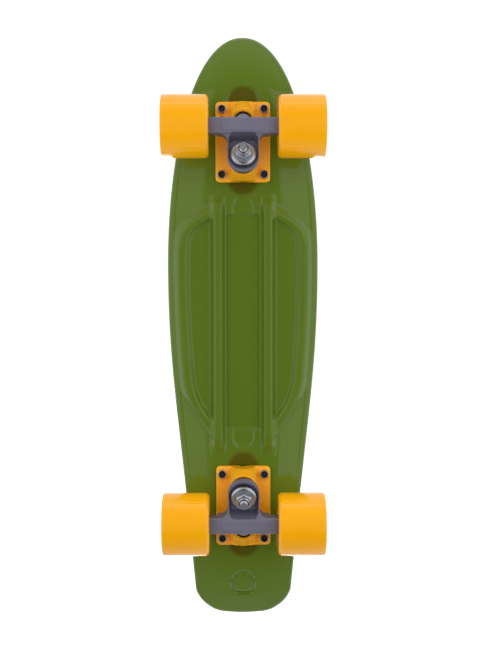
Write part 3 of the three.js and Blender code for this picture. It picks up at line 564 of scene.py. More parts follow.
def half_outline():
    """The right edge of the deck from the nose to the tail, as many short steps."""
    angles = np.linspace(math.pi / 2, 0, 160)
    nose = np.stack(
        [WIDE * np.clip(np.cos(angles), 0, 1) ** 0.94, WIDEST_Y + (NOSE - WIDEST_Y) * np.sin(angles)], axis=1
    )
    corner_y = TAIL + TAIL_SIDE
    reach = (WIDEST_Y - corner_y) * 0.48
    waist = (TAIL_HALF + 0.074 * reach, corner_y + reach)
    side = curve([(WIDE, WIDEST_Y), (WIDE, WIDEST_Y - 0.75 * reach), waist, (TAIL_HALF, corner_y)], 160)
    corner = curve([(TAIL_HALF, corner_y), (TAIL_HALF - 4.3, TAIL + 10.7), (TAIL_FLAT, TAIL + 2.1)], 40)
    end = curve([(TAIL_FLAT, TAIL + 2.1), (TAIL_FLAT / 2, TAIL), (0, TAIL)], 30)
    tail = cut_corners(np.concatenate([corner[::13], end[14::15]]))
    return np.concatenate([nose, side[1:-1], tail])


EDGE = half_outline()


def half_width(y):
    """Half the deck's width at a place along it."""
    order = np.argsort(EDGE[:, 1], kind="stable")
    return np.interp(y, EDGE[order, 1], EDGE[order, 0])


# %% [markdown]
# The relief rule is written with a soft wall: 0 before it, 1 after it, straight between, with a small mould
# radius at its foot and its crest. Those radii are what draws the thin bright lines on a polished moulding.
# `inside` measures how deep a place lies inside a drawn outline, so a wall can run between any two outlines.

# %% Relief of the underside
def wall(value, start, stop, radius=0.22):
    """A slope from 0 to 1 with a rounded foot and crest; radius is their share of its width."""
    t = np.clip((value - start) / (stop - start), 0, 1)
    run = 2 * radius * (1 - radius)
    foot = t * t / run
    middle = (2 * t - radius) * radius / run
    crest = 1 - (1 - t) ** 2 / run
    return np.where(t < radius, foot, np.where(t > 1 - radius, crest, middle))


def inside(x, y, shape):
    """Distance from a closed outline: positive inside it, negative outside."""
    corners = np.array(shape, float)
    after = np.roll(corners, -1, axis=0)
    nearest = np.full(x.shape, 1e9)
    within = np.zeros(x.shape, bool)
    for (ax, ay), (bx, by) in zip(corners, after):
        ex, ey = bx - ax, by - ay
        t = np.clip(((x - ax) * ex + (y - ay) * ey) / (ex * ex + ey * ey), 0, 1)
        nearest = np.minimum(nearest, np.hypot(x - ax - t * ex, y - ay - t * ey))
        if ay != by:
            crosses = (ay > y) != (by > y)
            within ^= crosses & (x < ex * (y - ay) / ey + ax)
    return np.where(within, nearest, -nearest)


def between(x, y, outer, inner):
    """0 on the outer outline, 1 on the inner one, and the share of the way between them."""
    into = inside(x, y, outer)
    left = -inside(x, y, inner)
    share = np.clip(into, 0, None) / np.maximum(np.clip(into, 0, None) + np.clip(left, 0, None), 1e-6)
    return wall(share, 0, 1)


def eased(points, rounds=3):
    """Cuts the corners of an open line again and again until it runs smoothly."""
    line = np.array(points, float)
    for _ in range(rounds):
        first = line[:-1] * 0.75 + line[1:] * 0.25
        second = line[:-1] * 0.25 + line[1:] * 0.75
        mixed = np.stack([first, second], axis=1).reshape(-1, 2)
        line = np.concatenate([line[:1], mixed, line[-1:]])
    return line.tolist()


def side_line(inset, front, back):
    """The deck's edge between two places, drawn in by an even distance."""
    return [(float(half_width(y)) - inset, float(y)) for y in np.linspace(front, back, 12)]


# Four outlines from the rim to the hollow: foot and crest of the shoulder, crest and foot of the inner wall.
SHOULDER_FOOT = eased(
    [(18, 128), (34.8, 118.7), (48.9, 109.9), (56, 106), (61, 102.5), (64.5, 98.9), (66.9, 95), (68.7, 91.1)]
    + side_line(4.3, 85, -62) + [(61.5, -69), (56, -76.7), (48.9, -86.6), (41.9, -97.2), (34.8, -107.1), (18, -132)]
)
SHOULDER_CREST = eased(
    [(18, 116), (34.8, 108.6), (42, 105.4), (48.9, 101.7), (56, 96), (60, 88.5)]
    + side_line(11.4, 80, -60) + [(53.9, -71.1), (48.9, -83.1), (43.3, -92.2), (37.6, -100), (33.4, -105), (18, -127)]
)
HOLLOW_CREST = eased(
    [(18, 112), (34.1, 105.3), (41.9, 101), (48.9, 96.1), (53.9, 90.4), (56.5, 83.4)]
    + side_line(17, 74, -60) + [(49.2, -69), (46.4, -77.4), (41.9, -85.9), (37.6, -91.5), (33.4, -96.5), (18, -113)]
)
HOLLOW_FLOOR = eased(
    [(18, 108), (34.7, 101), (41.9, 96.4), (46.8, 91.6), (49.8, 86.5), (51.3, 80)]
    + side_line(22.6, 73, -58) + [(43.3, -69), (40.5, -76), (35.5, -83.1), (18, -108)]
)
RIB, SHOULDER, HOLLOW, CHANNEL, TAB, PAD = 5.8, 2.5, -2.0, -3.4, -1.2, -0.7


def stadium(x, y, half, low, high):
    """Distance inside a round-ended slot along Y."""
    return half - np.hypot(x, y - np.clip(y, low, high))


def pad_mask(x, y):
    return np.maximum(
        wall(stadium(x, y, 15.2, 143.5, 219), -2.5, 2.5), wall(stadium(x, y, 15.2, -216, -142), -2.5, 2.5)
    )


def relief(x, y, curl):
    """How far the underside stands out below the plain skin, in millimetres; curl is the skin's own lift."""
    across = np.abs(x)
    raised = between(across, y, SHOULDER_FOOT, SHOULDER_CREST)
    ground = (SHOULDER + 0.6 * curl) * raised
    hollow = between(across, y, HOLLOW_CREST, HOLLOW_FLOOR)
    ground = ground * (1 - hollow) + (HOLLOW + curl) * hollow
    channel = wall(16.5 - across, 0, 2.0) * wall(y, -105.5, -102.5) * wall(109.5 - y, 0, 2.6)
    tab = np.maximum(stadium(across, y, 10.2, 95, 114.9), stadium(across, y, 10.2, -112, -95))
    centre = wall(across, 22, 18)
    ground = ground * (1 - centre) + TAB * wall(tab, -1.2, 1.0) * (1 - channel) * centre
    ground = ground + CHANNEL * channel
    ribs = wall(across, 16.5, 22.0, 0.3) * wall(33.6 - across, 0, 6.4, 0.3)
    ribs = ribs * wall(y, -134, -110, 0.4) * wall(131 - y, 0, 20, 0.4)
    surface = ground * (1 - ribs) + RIB * ribs
    surface = surface + PAD * pad_mask(x, y)
    mark = 1 - (np.abs(x / (12.2 - 0.2 * (y + 260.5))) ** 2.6 + np.abs((y + 260.5) / 13.6) ** 2.6) ** 0.385
    return surface - 2.4 * wall(mark, -0.02, 0.1) + 1.4 * wall(mark, 0.16, 0.34)


def end_rise(y):
    front = 12 * np.clip((y - END_START) / (NOSE - END_START), 0, 1) ** 1.8
    return front + 22 * np.clip((y + END_START) / (TAIL + END_START), 0, 1) ** 1.35


def dish(out, edge):
    """How far the deck's sides curl up at a distance from its spine."""
    return 7 * np.clip((out - FLAT_HALF) / np.maximum(edge - FLAT_HALF, 1), 0, 1) ** 1.7


# %% [markdown]
# The grid runs square across the deck between the two ends, then fans round each end. Across each ray the
# points crowd together where the ribs and walls are. The rim is a half-round, and inside it a small bead
# follows the sides, fading out towards the nose and tail, as it does on a moulded board.

# %% Lay the grid and lift it
def rays():
    """(foot, direction, length) of every ray from the spine to the right-hand edge."""
    found = []
    for a in np.radians(np.linspace(90, 0, 46))[:-1]:
        found.append((0.0, SPINE_END, math.cos(a), math.sin(a)))
    for y in np.linspace(SPINE_END, -SPINE_END, 236):
        found.append((0.0, y, 1.0, 0.0))
    for a in np.radians(np.linspace(0, -90, 46))[1:]:
        found.append((0.0, -SPINE_END, math.cos(a), math.sin(a)))
    lengths = []
    for fx, fy, dx, dy in found:
        if dy == 0:
            lengths.append(float(half_width(fy)))
            continue
        part = EDGE[EDGE[:, 1] * np.sign(fy) >= abs(fy) - 1e-9]
        angle = np.arctan2(np.abs(part[:, 1] - fy), part[:, 0])
        order = np.argsort(angle)
        distance = np.hypot(part[:, 0], part[:, 1] - fy)
        lengths.append(float(np.interp(math.atan2(abs(dy), dx), angle[order], distance[order])))
    return found, lengths


ROUND = THICKNESS / MM / 2


def row_distances(length, fine):
    """Distances along one ray, up to where the rim begins to round."""
    last = length - ROUND
    turn = min(36.0, 0.6 * length)
    if fine:
        inner = np.linspace(0, turn, 46)
        outer = turn + (last - turn) * np.linspace(0, 1, 44)[1:]
    else:
        inner = np.linspace(0, turn, 8)
        outer = turn + (last - turn) * np.linspace(0, 1, 12)[1:]
    return np.concatenate([inner, outer])


def bead(out, edge, y):
    """The fine bead that runs along the sides of the underside, inside the rim."""
    gap = edge - out
    return 0.55 * np.exp(-(((gap - 4.6) / 1.3) ** 2)) * wall(np.abs(y), 190, 120)


def deck_half_rows():
    rows = []
    found, lengths = rays()
    for (fx, fy, dx, dy), length in zip(found, lengths):
        top = row_distances(length, False)
        under = row_distances(length, True)[::-1]
        turn = np.linspace(math.pi / 2, -math.pi / 2, 11)[1:-1]
        rim_out = length - ROUND + ROUND * np.cos(turn)
        rim_drop = ROUND - ROUND * np.sin(turn)
        out = np.concatenate([top, rim_out, under])
        drop = np.concatenate([top * 0, rim_drop, under * 0 + 2 * ROUND])
        x, y = fx + out * dx, fy + out * dy
        flat_out = np.minimum(out, length - ROUND)
        curl = dish(flat_out, length)
        z = TOP + curl + end_rise(y) - drop
        is_under = np.arange(len(out)) >= len(top) + len(rim_out)
        z = np.where(is_under, z - relief(x, y, curl) - bead(out, length, y), z)
        rim_rows = slice(len(top), len(top) + len(rim_out))
        shown = np.clip((rim_drop - ROUND) / ROUND, 0, 1) ** 2
        z[rim_rows] -= bead(length - ROUND, length, y[rim_rows]) * shown
        rows.append(np.stack([x, y, z], axis=1))
    return rows


def deck_mesh(name):
    """The closed skin: the right half's rows, then the left half's mirrored, one loop of rays."""
    right = deck_half_rows()
    left = [row * (-1, 1, 1) for row in right[1:-1]][::-1]
    rows = right + left
    per_row = len(rows[0])
    points = np.concatenate(rows)
    faces = []
    for i in range(len(rows)):
        after = (i + 1) % len(rows)
        for j in range(per_row - 1):
            a, b = i * per_row + j, i * per_row + j + 1
            c, d = after * per_row + j, after * per_row + j + 1
            faces.append((a, c, d, b))
    return tidy_mesh(new_piece(name, points.tolist(), [], faces), 0.01 * MM)


deck = moved(deck_mesh("deck_shape"), Matrix.Translation((0, MIDDLE_Y, 0)))
print("deck faces:", len(deck.data.polygons))

# %% [markdown]
# Each truck is held by four bolts. Their heads sit in countersinks in the top, and the holes go right
# through. One cutter carries all eight, so the deck is only cut once.

# %% Drill the deck
BOLT_X, BOLT_Y = 41.3 / 2, 63.5 / 2
BOLT_SPOTS = [(-BOLT_X, BOLT_Y), (BOLT_X, BOLT_Y), (-BOLT_X, -BOLT_Y), (BOLT_X, -BOLT_Y)]
SINK = [(0, -6), (2.8, -6), (2.8, 5.0), (3.0, 5.3), (4.9, 7.6), (5.2, 8.2), (5.2, 14), (0, 14)]


def join(pieces):
    """Joins separate pieces into one object without fusing them."""
    first = pick(pieces[0])
    for other in pieces[1:]:
        other.select_set(True)
    bpy.ops.object.join()
    return first


drills = []
for place in TRUCK_PLACES.values():
    for x, y in BOLT_SPOTS:
        drill = turned("drill", SINK, steps=32)
        drills.append(moved(drill, place @ Matrix.Translation((x * MM, y * MM, 0))))
combine(deck, join(drills), "DIFFERENCE")
smooth(deck, 40)
spots = np.empty(len(deck.data.vertices) * 3)
deck.data.vertices.foreach_get("co", spots)
spots = spots.reshape(-1, 3) / MM
# The shallow pads under the trucks are marked in the 'hollow' attribute, which the deck finish uses for painted shade
# and a painted reflection of the baseplates.
painted_pad_shade = deck.data.attributes.new("hollow", "FLOAT", "POINT")
shade = pad_mask(spots[:, 0], spots[:, 1] - MIDDLE_Y / MM) * (spots[:, 2] < TOP - 3)
painted_pad_shade.data.foreach_set("value", shade.astype(np.float32))
hand_over(deck, "board", "deck_plastic", "deck")

# %% [markdown]
# The standing side is moulded with a waffle of small raised pads. One pad is a block with its top drawn in;
# the rest are copies laid out in rows wherever there is room inside the edge and round the bolts.

# %% Waffle grip on the top
def grip_pads():
    low, high = [], []
    pitch, half_low, half_high, rise, sunk = 9.0, 3.7, 2.9, 0.7, 0.35
    holes = [
        (sign * BOLT_X, heading * (TRUCK_Y - MIDDLE_Y) / MM + side * BOLT_Y)
        for sign in (-1, 1)
        for side in (-1, 1)
        for heading in (-1, 1)
    ]
    points, faces = [], []
    for row in range(-34, 34):
        y = row * pitch * 0.97
        for column in range(-8, 9):
            x = column * pitch
            edge = float(half_width(y))
            if abs(x) > edge - 13 or any(math.hypot(x - a, y - b) < 9 for a, b in holes):
                continue
            if inside(np.array([abs(x)]), np.array([y]), GRIP_EDGE)[0] < 11:
                continue
            start = len(points)
            for half, lift in ((half_low, -sunk), (half_high, rise)):
                for dx, dy in ((-half, -half), (half, -half), (half, half), (-half, half)):
                    px, py = x + dx, y + dy
                    z = TOP + float(dish(abs(px), half_width(py))) + float(end_rise(py)) + lift
                    points.append((px, py, z))
            faces += [(start + 3, start + 2, start + 1, start), (start + 4, start + 5, start + 6, start + 7)]
            for i in range(4):
                after = (i + 1) % 4
                faces.append((start + i, start + after, start + after + 4, start + i + 4))
    return new_piece("grip_pads", points, [], faces)


GRIP_EDGE = [(0.0, NOSE)] + [tuple(p) for p in EDGE[1::6]] + [(-60.0, TAIL), (-60.0, NOSE)]
grip = moved(grip_pads(), Matrix.Translation((0, MIDDLE_Y, 0)))
print("grip pads:", len(grip.data.polygons) // 6)
hand_over(grip, "board", "deck_plastic", look="grip")

# %% [markdown]
# ## Wheels and bearings
# A wheel is poured in a turned mould, so a spun profile is the true way to make it: a wide soft bevel towards
# the truck, a small round outside, and a recess on each side down to the bearing. Inside each recess a
# bearing shows its outer race, a thin shield and, on the axle's side, its inner race.

# %% Wheel, bearings and spacer
WHEEL = [
    (9, -4.8), (11.15, -4.8), (11.15, -12.2), (13.4, -12.6), (15, -21.85), (16, -22.45), (27.0, -22.45), (28.2, -21.9),
    (29.6, -20.4), (30, -19.4), (30, 20.45), (29.6, 21.85), (28.4, 22.45), (16, 22.45), (15, 21.85), (13.4, 12.6),
    (11.15, 12.2), (11.15, 4.8), (9, 4.8),
]
OUTER_RACE = [
    (6.5, -2.9), (8.9, -2.9), (9.1, -3.5), (10.6, -3.5), (11, -3.1), (11, 3.1), (10.6, 3.5), (9.1, 3.5),
    (8.9, 2.9), (6.5, 2.9),
]
INNER_RACE = [(4.05, -3.3), (4.3, -3.5), (6.0, -3.5), (6.2, -3.3), (6.2, 3.3), (6.0, 3.5), (4.3, 3.5), (4.05, 3.3)]
WHEEL_FLIP = (
    Matrix.Translation((0, AXLE_OUT * MM, 0)) @ Matrix.Rotation(math.pi, 4, "Z")
    @ Matrix.Translation((0, -AXLE_OUT * MM, 0))
)


def along(distance):
    return Matrix.Translation((0, 0, distance * MM))


def to_four_wheels(piece, name, body, slot, node=None, look=None, shift=0.0):
    """Copies a piece on the axle's line to all four wheels; body is 'roller' or 'truck'."""
    for end, place in TRUCK_PLACES.items():
        for side in (1, -1):
            heading = 1 if end == "front" else -1
            hand = f"{end}_{'right' if side * heading > 0 else 'left'}"
            turn = Matrix.Identity(4) if side > 0 else WHEEL_FLIP
            twin = copy_of(piece, f"{hand}_{name}_shape", place @ turn @ AXLE_LINE @ along(shift))
            rides = f"{hand}_roller" if body == "roller" else f"{end}_truck"
            nodes = [f"{hand}_{node}"] if node else []
            hand_over(smooth(twin), rides, slot, *nodes, look=look)
    bpy.data.objects.remove(piece)


MIDDLE = WHEEL_MIDDLE / MM
to_four_wheels(turned("wheel", WHEEL, True, 0.9, 112), "wheel", "roller", "wheel_urethane", "wheel", shift=MIDDLE)
for name, shift in (("inner_bearing", MIDDLE - 8.5), ("outer_bearing", MIDDLE + 8.5)):
    race = turned(name, OUTER_RACE, True, 0.2, 64)
    to_four_wheels(race, name, "roller", "bearing_steel", name, shift=shift)
    core = turned(name + "_core", INNER_RACE, True, 0.1, 48)
    to_four_wheels(core, name + "_core", "truck", "bearing_steel", shift=shift)
spacer = turned("spacer", [(4.1, -4.9), (5.6, -4.9), (5.6, 4.9), (4.1, 4.9)], True, 0.3, 40)
to_four_wheels(spacer, "spacer", "truck", "plated_steel", shift=MIDDLE)
thin_ring = [(4.1, 0), (6.6, 0), (6.6, 0.9), (4.1, 0.9)]
to_four_wheels(turned("speed_ring", thin_ring, True, 0.2, 40), "speed_ring", "truck", "plated_steel", shift=42.15)

# %% [markdown]
# ## Nuts, washers, bolts and pins
# A lock nut is a hexagonal bar, turned down at both ends so that its corners are cut by a shallow cone, and
# bored. A nylon ring is pressed into its end to stop it from shaking loose. The same helper makes all three
# sizes.

# %% Fasteners
def thread(radius, low, high, pitch, depth=0.28):
    """A profile with the grooves of a thread between two heights."""
    points = []
    h = low
    while h + pitch <= high:
        points += [(radius - depth, h), (radius, h + pitch * 0.45), (radius, h + pitch * 0.6)]
        h += pitch
    points.append((radius - depth, high))
    return points


def hex_nut(name, flats, low, high, bore, collar=None):
    """A hexagon with coned corners, bored; the collar is (radius, height) at its low end."""
    nut = prism(name, 6, flats, low, high)
    corner = flats / math.sqrt(3)
    cone = (corner - flats / 2 * 0.97) * 0.55
    shape = [(0, low), (flats / 2 * 0.97, low), (corner, low + cone), (corner, high - cone)]
    shape += [(flats / 2 * 0.97, high), (0, high)]
    combine(nut, turned("cone", shape, steps=96), "INTERSECT")
    if collar:
        wide, tall = collar
        dome = [(0, low - tall), (wide - 0.9, low - tall), (wide - 0.2, low - tall * 0.7), (wide, low + 0.6)]
        combine(nut, turned("dome", dome + [(0, low + 0.6)], steps=64), "UNION")
        low = low - tall
    hole = [(0, low - 1), (bore + 1.2, low - 1), (bore + 0.55, low + 0.3), (bore, low + 0.9)]
    hole += [(bore, high - 0.7), (bore + 0.8, high + 0.1), (bore + 0.8, high + 1), (0, high + 1)]
    combine(nut, turned("bore", hole, steps=64), "DIFFERENCE")
    apply_modifier(nut, "BEVEL", width=0.14 * MM, segments=2, limit_method="ANGLE", angle_limit=math.radians(28))
    return nut


axle_nut = hex_nut("axle_nut", 12.7, 68.65, 74.15, 4.15)
to_four_wheels(axle_nut, "axle_nut", "truck", "plated_steel", "axle_nut")
insert = turned("axle_insert", [(3.95, 72.75), (5.2, 72.75), (5.2, 73.95), (3.95, 73.95)], True, 0.2, 48)
to_four_wheels(insert, "axle_insert", "truck", "cup_nylon")
washer = turned("axle_washer", [(4.2, 67.45), (7.2, 67.45), (7.2, 68.35), (4.2, 68.35)], True, 0.25, 64)
to_four_wheels(washer, "axle_washer", "truck", "plated_steel", "axle_washer")

axle_half = axle_high.x / MM
rod = [(0, -axle_half), (3.2, -axle_half), (3.9, -axle_half + 0.7)]
rod += thread(3.98, -axle_half + 0.8, -67, 1.0) + [(4, -66), (4, 66)]
rod += [(r, -h) for r, h in reversed(thread(3.98, -axle_half + 0.8, -67, 1.0))]
rod += [(3.9, axle_half - 0.7), (3.2, axle_half), (0, axle_half)]
to_both_trucks(turned("axle", rod, steps=48), "axle", "truck", "plated_steel", "axle", AXLE_LINE)

# %% Kingpin, washers and bushings
pin = [(0, -27.3), (3.2, -27.3), (3.9, -26.6)] + thread(3.97, -26.4, -13, 1.1, 0.32)
pin += [(4, -12.5), (4, 26.2), (5.6, 26.2), (6, 26.7), (6, 30.7), (5.4, 31.2), (0, 31.2)]
to_both_trucks(turned("kingpin", pin, steps=64), "kingpin", "board", "plated_steel", "kingpin", KINGPIN_AXES)
nut = hex_nut("kingpin_nut", 14, -22.2, -15.9, 4.12, (5.8, 1.7))
to_both_trucks(nut, "kingpin_nut", "board", "plated_steel", "kingpin_nut", KINGPIN_AXES)
ring = turned("kingpin_insert", [(3.98, -23.8), (5.0, -23.8), (5.0, -22.5), (3.98, -22.5)], True, 0.2, 48)
to_both_trucks(ring, "kingpin_insert", "board", "cup_nylon", axes=KINGPIN_AXES)


def cup_washer():
    """A pressed cup: a flat disc whose rim turns over the end of the road-side bushing."""
    shape = [(4.3, -15.6), (9.8, -15.6), (11.6, -14.8), (12.1, -11.9), (11.8, -11.6), (11.2, -11.6)]
    shape += [(10.7, -13.7), (10.1, -14.1), (4.3, -14.1)]
    return turned("cup", shape, True, 0.45, 80)


to_both_trucks(cup_washer(), "road_cup_washer", "board", "plated_steel", "road_cup_washer", KINGPIN_AXES)
flat = turned("flat", [(4.3, 19.1), (9.8, 19.1), (9.8, 20.6), (4.3, 20.6)], True, 0.4, 64)
to_both_trucks(flat, "board_washer", "board", "plated_steel", "board_washer", KINGPIN_AXES)


def bushing(name, low, high, wide_low, wide_high):
    """A urethane barrel that is squeezed a little between yoke and washer."""
    span = high - low
    shape = [(4.3, low)]
    for i in range(9):
        t = i / 8
        swell = math.sin(math.pi * min(max(t, 0.0), 1.0)) * 0.7
        shape.append((wide_low + (wide_high - wide_low) * t + swell - (0.5 if i in (0, 8) else 0), low + span * t))
    shape.append((4.3, high))
    barrel = turned(name, shape, True, 0.35, 72)
    for end, place in TRUCK_PLACES.items():
        where = place @ KINGPIN_AXES
        twin = smooth(copy_of(barrel, f"{end}_{name}_shape", where))
        twin.data.materials.clear()
        twin.data.materials.append(FINISHES["bushing_urethane"])
        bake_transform(twin)
        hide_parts(f"{end}_{name}")
    bpy.data.objects.remove(barrel)


bushing("board_bushing", 4.2, 18.9, 10.0, 9.4)
bushing("road_bushing", -13.9, -4.2, 9.4, 10.0)

# %% Mounting bolts
def mounting_bolt():
    screw = [(0, -10.0), (1.9, -10.0), (2.35, -9.6)] + thread(2.48, -9.5, -3, 0.8, 0.22)
    screw += [(2.5, -2.5), (2.5, 5.0), (4.4, 7.4), (4.6, 7.55), (4.5, 7.7), (0, 7.7)]
    bolt = turned("bolt", screw, steps=48)
    socket = prism("socket", 6, 3.0, 5.9, 9)
    return combine(bolt, socket, "DIFFERENCE")


bolt, nut = mounting_bolt(), hex_nut("bolt_nut", 8, -11.3, -6.3, 2.6)
insert = turned("bolt_insert", [(2.52, -11.1), (3.3, -11.1), (3.3, -10.0), (2.52, -10.0)], True, 0.15, 32)
for i, (x, y) in enumerate(BOLT_SPOTS, 1):
    spot = Matrix.Translation((x * MM, y * MM, 0))
    turn = spot @ Matrix.Rotation(math.radians(17 * i), 4, "Z")
    to_both_trucks(copy_of(bolt, "b", turn), f"bolt_{i}", "board", "plated_steel", f"bolt_{i}", look="black_steel")
    to_both_trucks(copy_of(nut, "n", turn), f"bolt_nut_{i}", "board", "plated_steel", f"bolt_nut_{i}")
    to_both_trucks(copy_of(insert, "i", turn), f"bolt_insert_{i}", "board", "cup_nylon")
for used in (bolt, nut, insert):
    bpy.data.objects.remove(used)

# %% [markdown]
# ## Cast baseplates
# A baseplate is a casting: a flat foot with six holes, a spine down its middle, a slanting boss that holds
# the kingpin's head and a second that holds the pivot cup. A casting is built here as it is in a pattern
# shop: plain blocks and cylinders are glued together, the holes are cut, then the whole is given one skin
# and rubbed down, which leaves soft fillets in every corner.

# %% Baseplate
PIVOT_OUT, KINGPIN_IN, KINGPIN_DROP = 20.6, 20.0, 39.0
PIVOT_DROP = KINGPIN_DROP - (PIVOT_OUT + KINGPIN_IN) * math.tan(LEAN)
PIVOT_PLACE = Matrix.Translation((0, PIVOT_OUT * MM, -PIVOT_DROP * MM)) @ Matrix.Rotation(math.radians(-25), 4, "X")


def rounded_outline(width, length, corner, steps=6):
    points = []
    for k, (sx, sy) in enumerate(((1, 1), (-1, 1), (-1, -1), (1, -1))):
        for i in range(steps + 1):
            angle = math.pi / 2 * (k + i / steps)
            x = sx * (width / 2 - corner) + corner * math.cos(angle)
            points.append((x, sy * (length / 2 - corner) + corner * math.sin(angle)))
    return points


def barrel(name, radius, low, high, axes=Matrix.Identity(4), steps=48):
    return moved(turned(name, [(0, low), (radius, low), (radius, high), (0, high)], steps=steps), axes)


def baseplate():
    foot = slab("foot", rounded_outline(53.6, 78.6, 4), -5.9, -0.5)
    bosses = barrel("boss", 13.2, 6.9, 39, KINGPIN_AXES)
    combine(bosses, barrel("boss", 11.4, -4.4, 34, PIVOT_PLACE), "UNION")
    combine(bosses, slab("spine", rounded_outline(25, 78.2, 4), -8.8, -0.6), "UNION")
    combine(bosses, slab("limit", rounded_outline(53.4, 78.4, 4), -48, -0.6), "INTERSECT")
    combine(foot, bosses, "UNION")
    for x, y in BOLT_SPOTS:
        pad = barrel("pad", 5.6, -6.5, -1, Matrix.Translation((x * MM, y * MM, 0)))
        combine(foot, pad, "UNION")
    for x, y in BOLT_SPOTS + [(-BOLT_X, BOLT_Y - 9.5), (BOLT_X, BOLT_Y - 9.5)]:
        combine(foot, barrel("hole", 2.9, -12, 2, Matrix.Translation((x * MM, y * MM, 0)), 32), "DIFFERENCE")
    combine(foot, barrel("bushing_room", 11.2, 0, 21.1, KINGPIN_AXES), "DIFFERENCE")
    combine(foot, barrel("pin_hole", 4.35, 0, 60, KINGPIN_AXES), "DIFFERENCE")
    combine(foot, barrel("head_seat", 6.4, 26.0, 60, KINGPIN_AXES), "DIFFERENCE")
    combine(foot, barrel("cup_seat", 8.3, -20, 8.2, PIVOT_PLACE), "DIFFERENCE")
    return cast_skin(foot, 0.5, 5)


plate = baseplate()
print("baseplate faces:", len(plate.data.polygons))
to_both_trucks(plate, "baseplate", "board", "plate_paint", "baseplate")


def pivot_cup():
    nose = [(5.1 * math.sin(a), 5.1 * math.cos(a)) for a in np.radians(np.linspace(0, 90, 10))]
    outer = [(6.8, -6), (8.0, -6), (8.0, 7.0), (7.0, 8.0), (0, 8.0)]
    return turned("pivot_cup", nose + outer, steps=64)


to_both_trucks(pivot_cup(), "pivot_cup", "board", "cup_nylon", "pivot_cup", PIVOT_PLACE)

# %% [markdown]
# ## Cast hangers
# The hanger is made the same way. A bar holds the axle, square in the middle and round at its ends; a flat
# yoke reaches inboard, leaning with the kingpin, and is bored for the bushings' seat; a web and a round
# stem run up to the pivot. The underside of the bar carries a plain raised panel.

# %% Hanger
REACH, FALL = AXLE_OUT + KINGPIN_IN, KINGPIN_DROP + AXLE_DROP
AXLE_ALONG = REACH * math.cos(LEAN) + FALL * math.sin(LEAN)
AXLE_BELOW = FALL * math.cos(LEAN) - REACH * math.sin(LEAN)
SIDEWAYS = Matrix(((0, 0, 1, 0), (1, 0, 0, 0), (0, 1, 0, 0), (0, 0, 0, 1)))


def side_slab(name, outline, half):
    """A slab drawn in the kingpin's own side view and thickened across the board."""
    return moved(slab(name, outline, -half, half), SIDEWAYS)


def yoke_outline(centre, face, radius, fillet):
    """The yoke seen from straight below: a round end, straight sides, fillets into the beam's face."""
    points = [(radius * math.cos(a), centre + radius * math.cos(LEAN) * math.sin(a))
              for a in np.radians(np.linspace(180, 360, 33))]
    side = [(radius + fillet - fillet * math.cos(a), face - fillet + fillet * math.sin(a))
            for a in np.radians(np.linspace(0, 90, 9))]
    side.append((40, face + 1))
    side.append((40, 80))
    return points + side + [(-x, y) for x, y in reversed(side)]


def hanger():
    beam = [(0, -41.8), (7.4, -41.8), (8, -41), (8, 41), (7.4, 41.8), (0, 41.8)]
    body = moved(turned("beam", beam, steps=48), AXLE_LINE)
    bar = moved(block("bar", (74, 15.8, 19), (0, 0, 0), 2.2), Matrix.Translation((0, AXLE_OUT * MM, AXLE_DROP * MM)))
    combine(body, bar, "UNION")
    panel = slab("panel", rounded_outline(41, 9, 2), AXLE_DROP - 10, AXLE_DROP - 5)
    combine(body, moved(panel, Matrix.Translation((0, AXLE_OUT * MM, 0))), "UNION")
    face, end, floor = AXLE_ALONG - 8.2, AXLE_ALONG + 2, AXLE_BELOW - 6
    yoke = slab("yoke", rounded_outline(50, 2 * end, 2), -34, 8)
    side = [(-30, -9), (4, -9), (face, floor), (end, floor), (end, 4), (-30, 4)]
    combine(yoke, side_slab("side", side, 40), "INTERSECT")
    below = KINGPIN_AXES @ Vector((0, 0, -4 * MM)) / MM
    plan = yoke_outline(below.y, AXLE_OUT - 7.6, 15.1, 7.5)
    yoke_in_plan = slab("plan", plan, -90, 20)
    web_back = (PIVOT_OUT + KINGPIN_IN) / math.cos(LEAN) - 8
    web = [(8, 0), (face, AXLE_BELOW), (web_back, AXLE_BELOW), (web_back, -5), (web_back - 9, 4), (8, 4)]
    combine(yoke, side_slab("web", web, 6), "UNION")
    yoke = combine(moved(yoke, KINGPIN_AXES), yoke_in_plan, "INTERSECT")
    combine(body, yoke, "UNION")
    nose = [(4.8 * math.cos(a), 4.8 * math.sin(a)) for a in np.radians(np.linspace(0, 90, 9))]
    stem = turned("stem", [(0, -20), (8, -20), (8, -10), (5.1, -6)] + nose, steps=48)
    combine(body, moved(stem, PIVOT_PLACE), "UNION")
    wide, back = 13.6, face - 0.8
    cavity = [(wide * math.cos(a), wide * math.sin(a)) for a in np.radians(np.linspace(180, 360, 33))]
    cavity += [(wide, back - 3), (wide - 3, back), (3 - wide, back), (-wide, back - 3)]
    combine(body, moved(slab("cavity", cavity, -50, -4), KINGPIN_AXES), "DIFFERENCE")
    combine(body, barrel("bore", 6.6, -8, 8, KINGPIN_AXES), "DIFFERENCE")
    combine(body, barrel("axle_hole", 4.3, -44, 44, AXLE_LINE, 32), "DIFFERENCE")
    return cast_skin(body, 0.5, 5)


cast = hanger()
print("hanger faces:", len(cast.data.polygons))
to_both_trucks(cast, "hanger", "truck", "cast_metal", "hanger")

# %% [markdown]
# ## Floor, light and camera
# The board is seen from straight below, so the light comes from below too: two large soft boxes, one at each
# side, draw long pale reflections down the moulded flanks. The floor is a plain pale sheet that only shows
# from above, so that it never comes between the board and a camera under it.

# %% Floor
bpy.ops.object.select_all(action="DESELECT")
bpy.ops.mesh.primitive_plane_add(size=6, location=(0, 0, 0))
floor = bpy.context.object
floor.name = "floor"


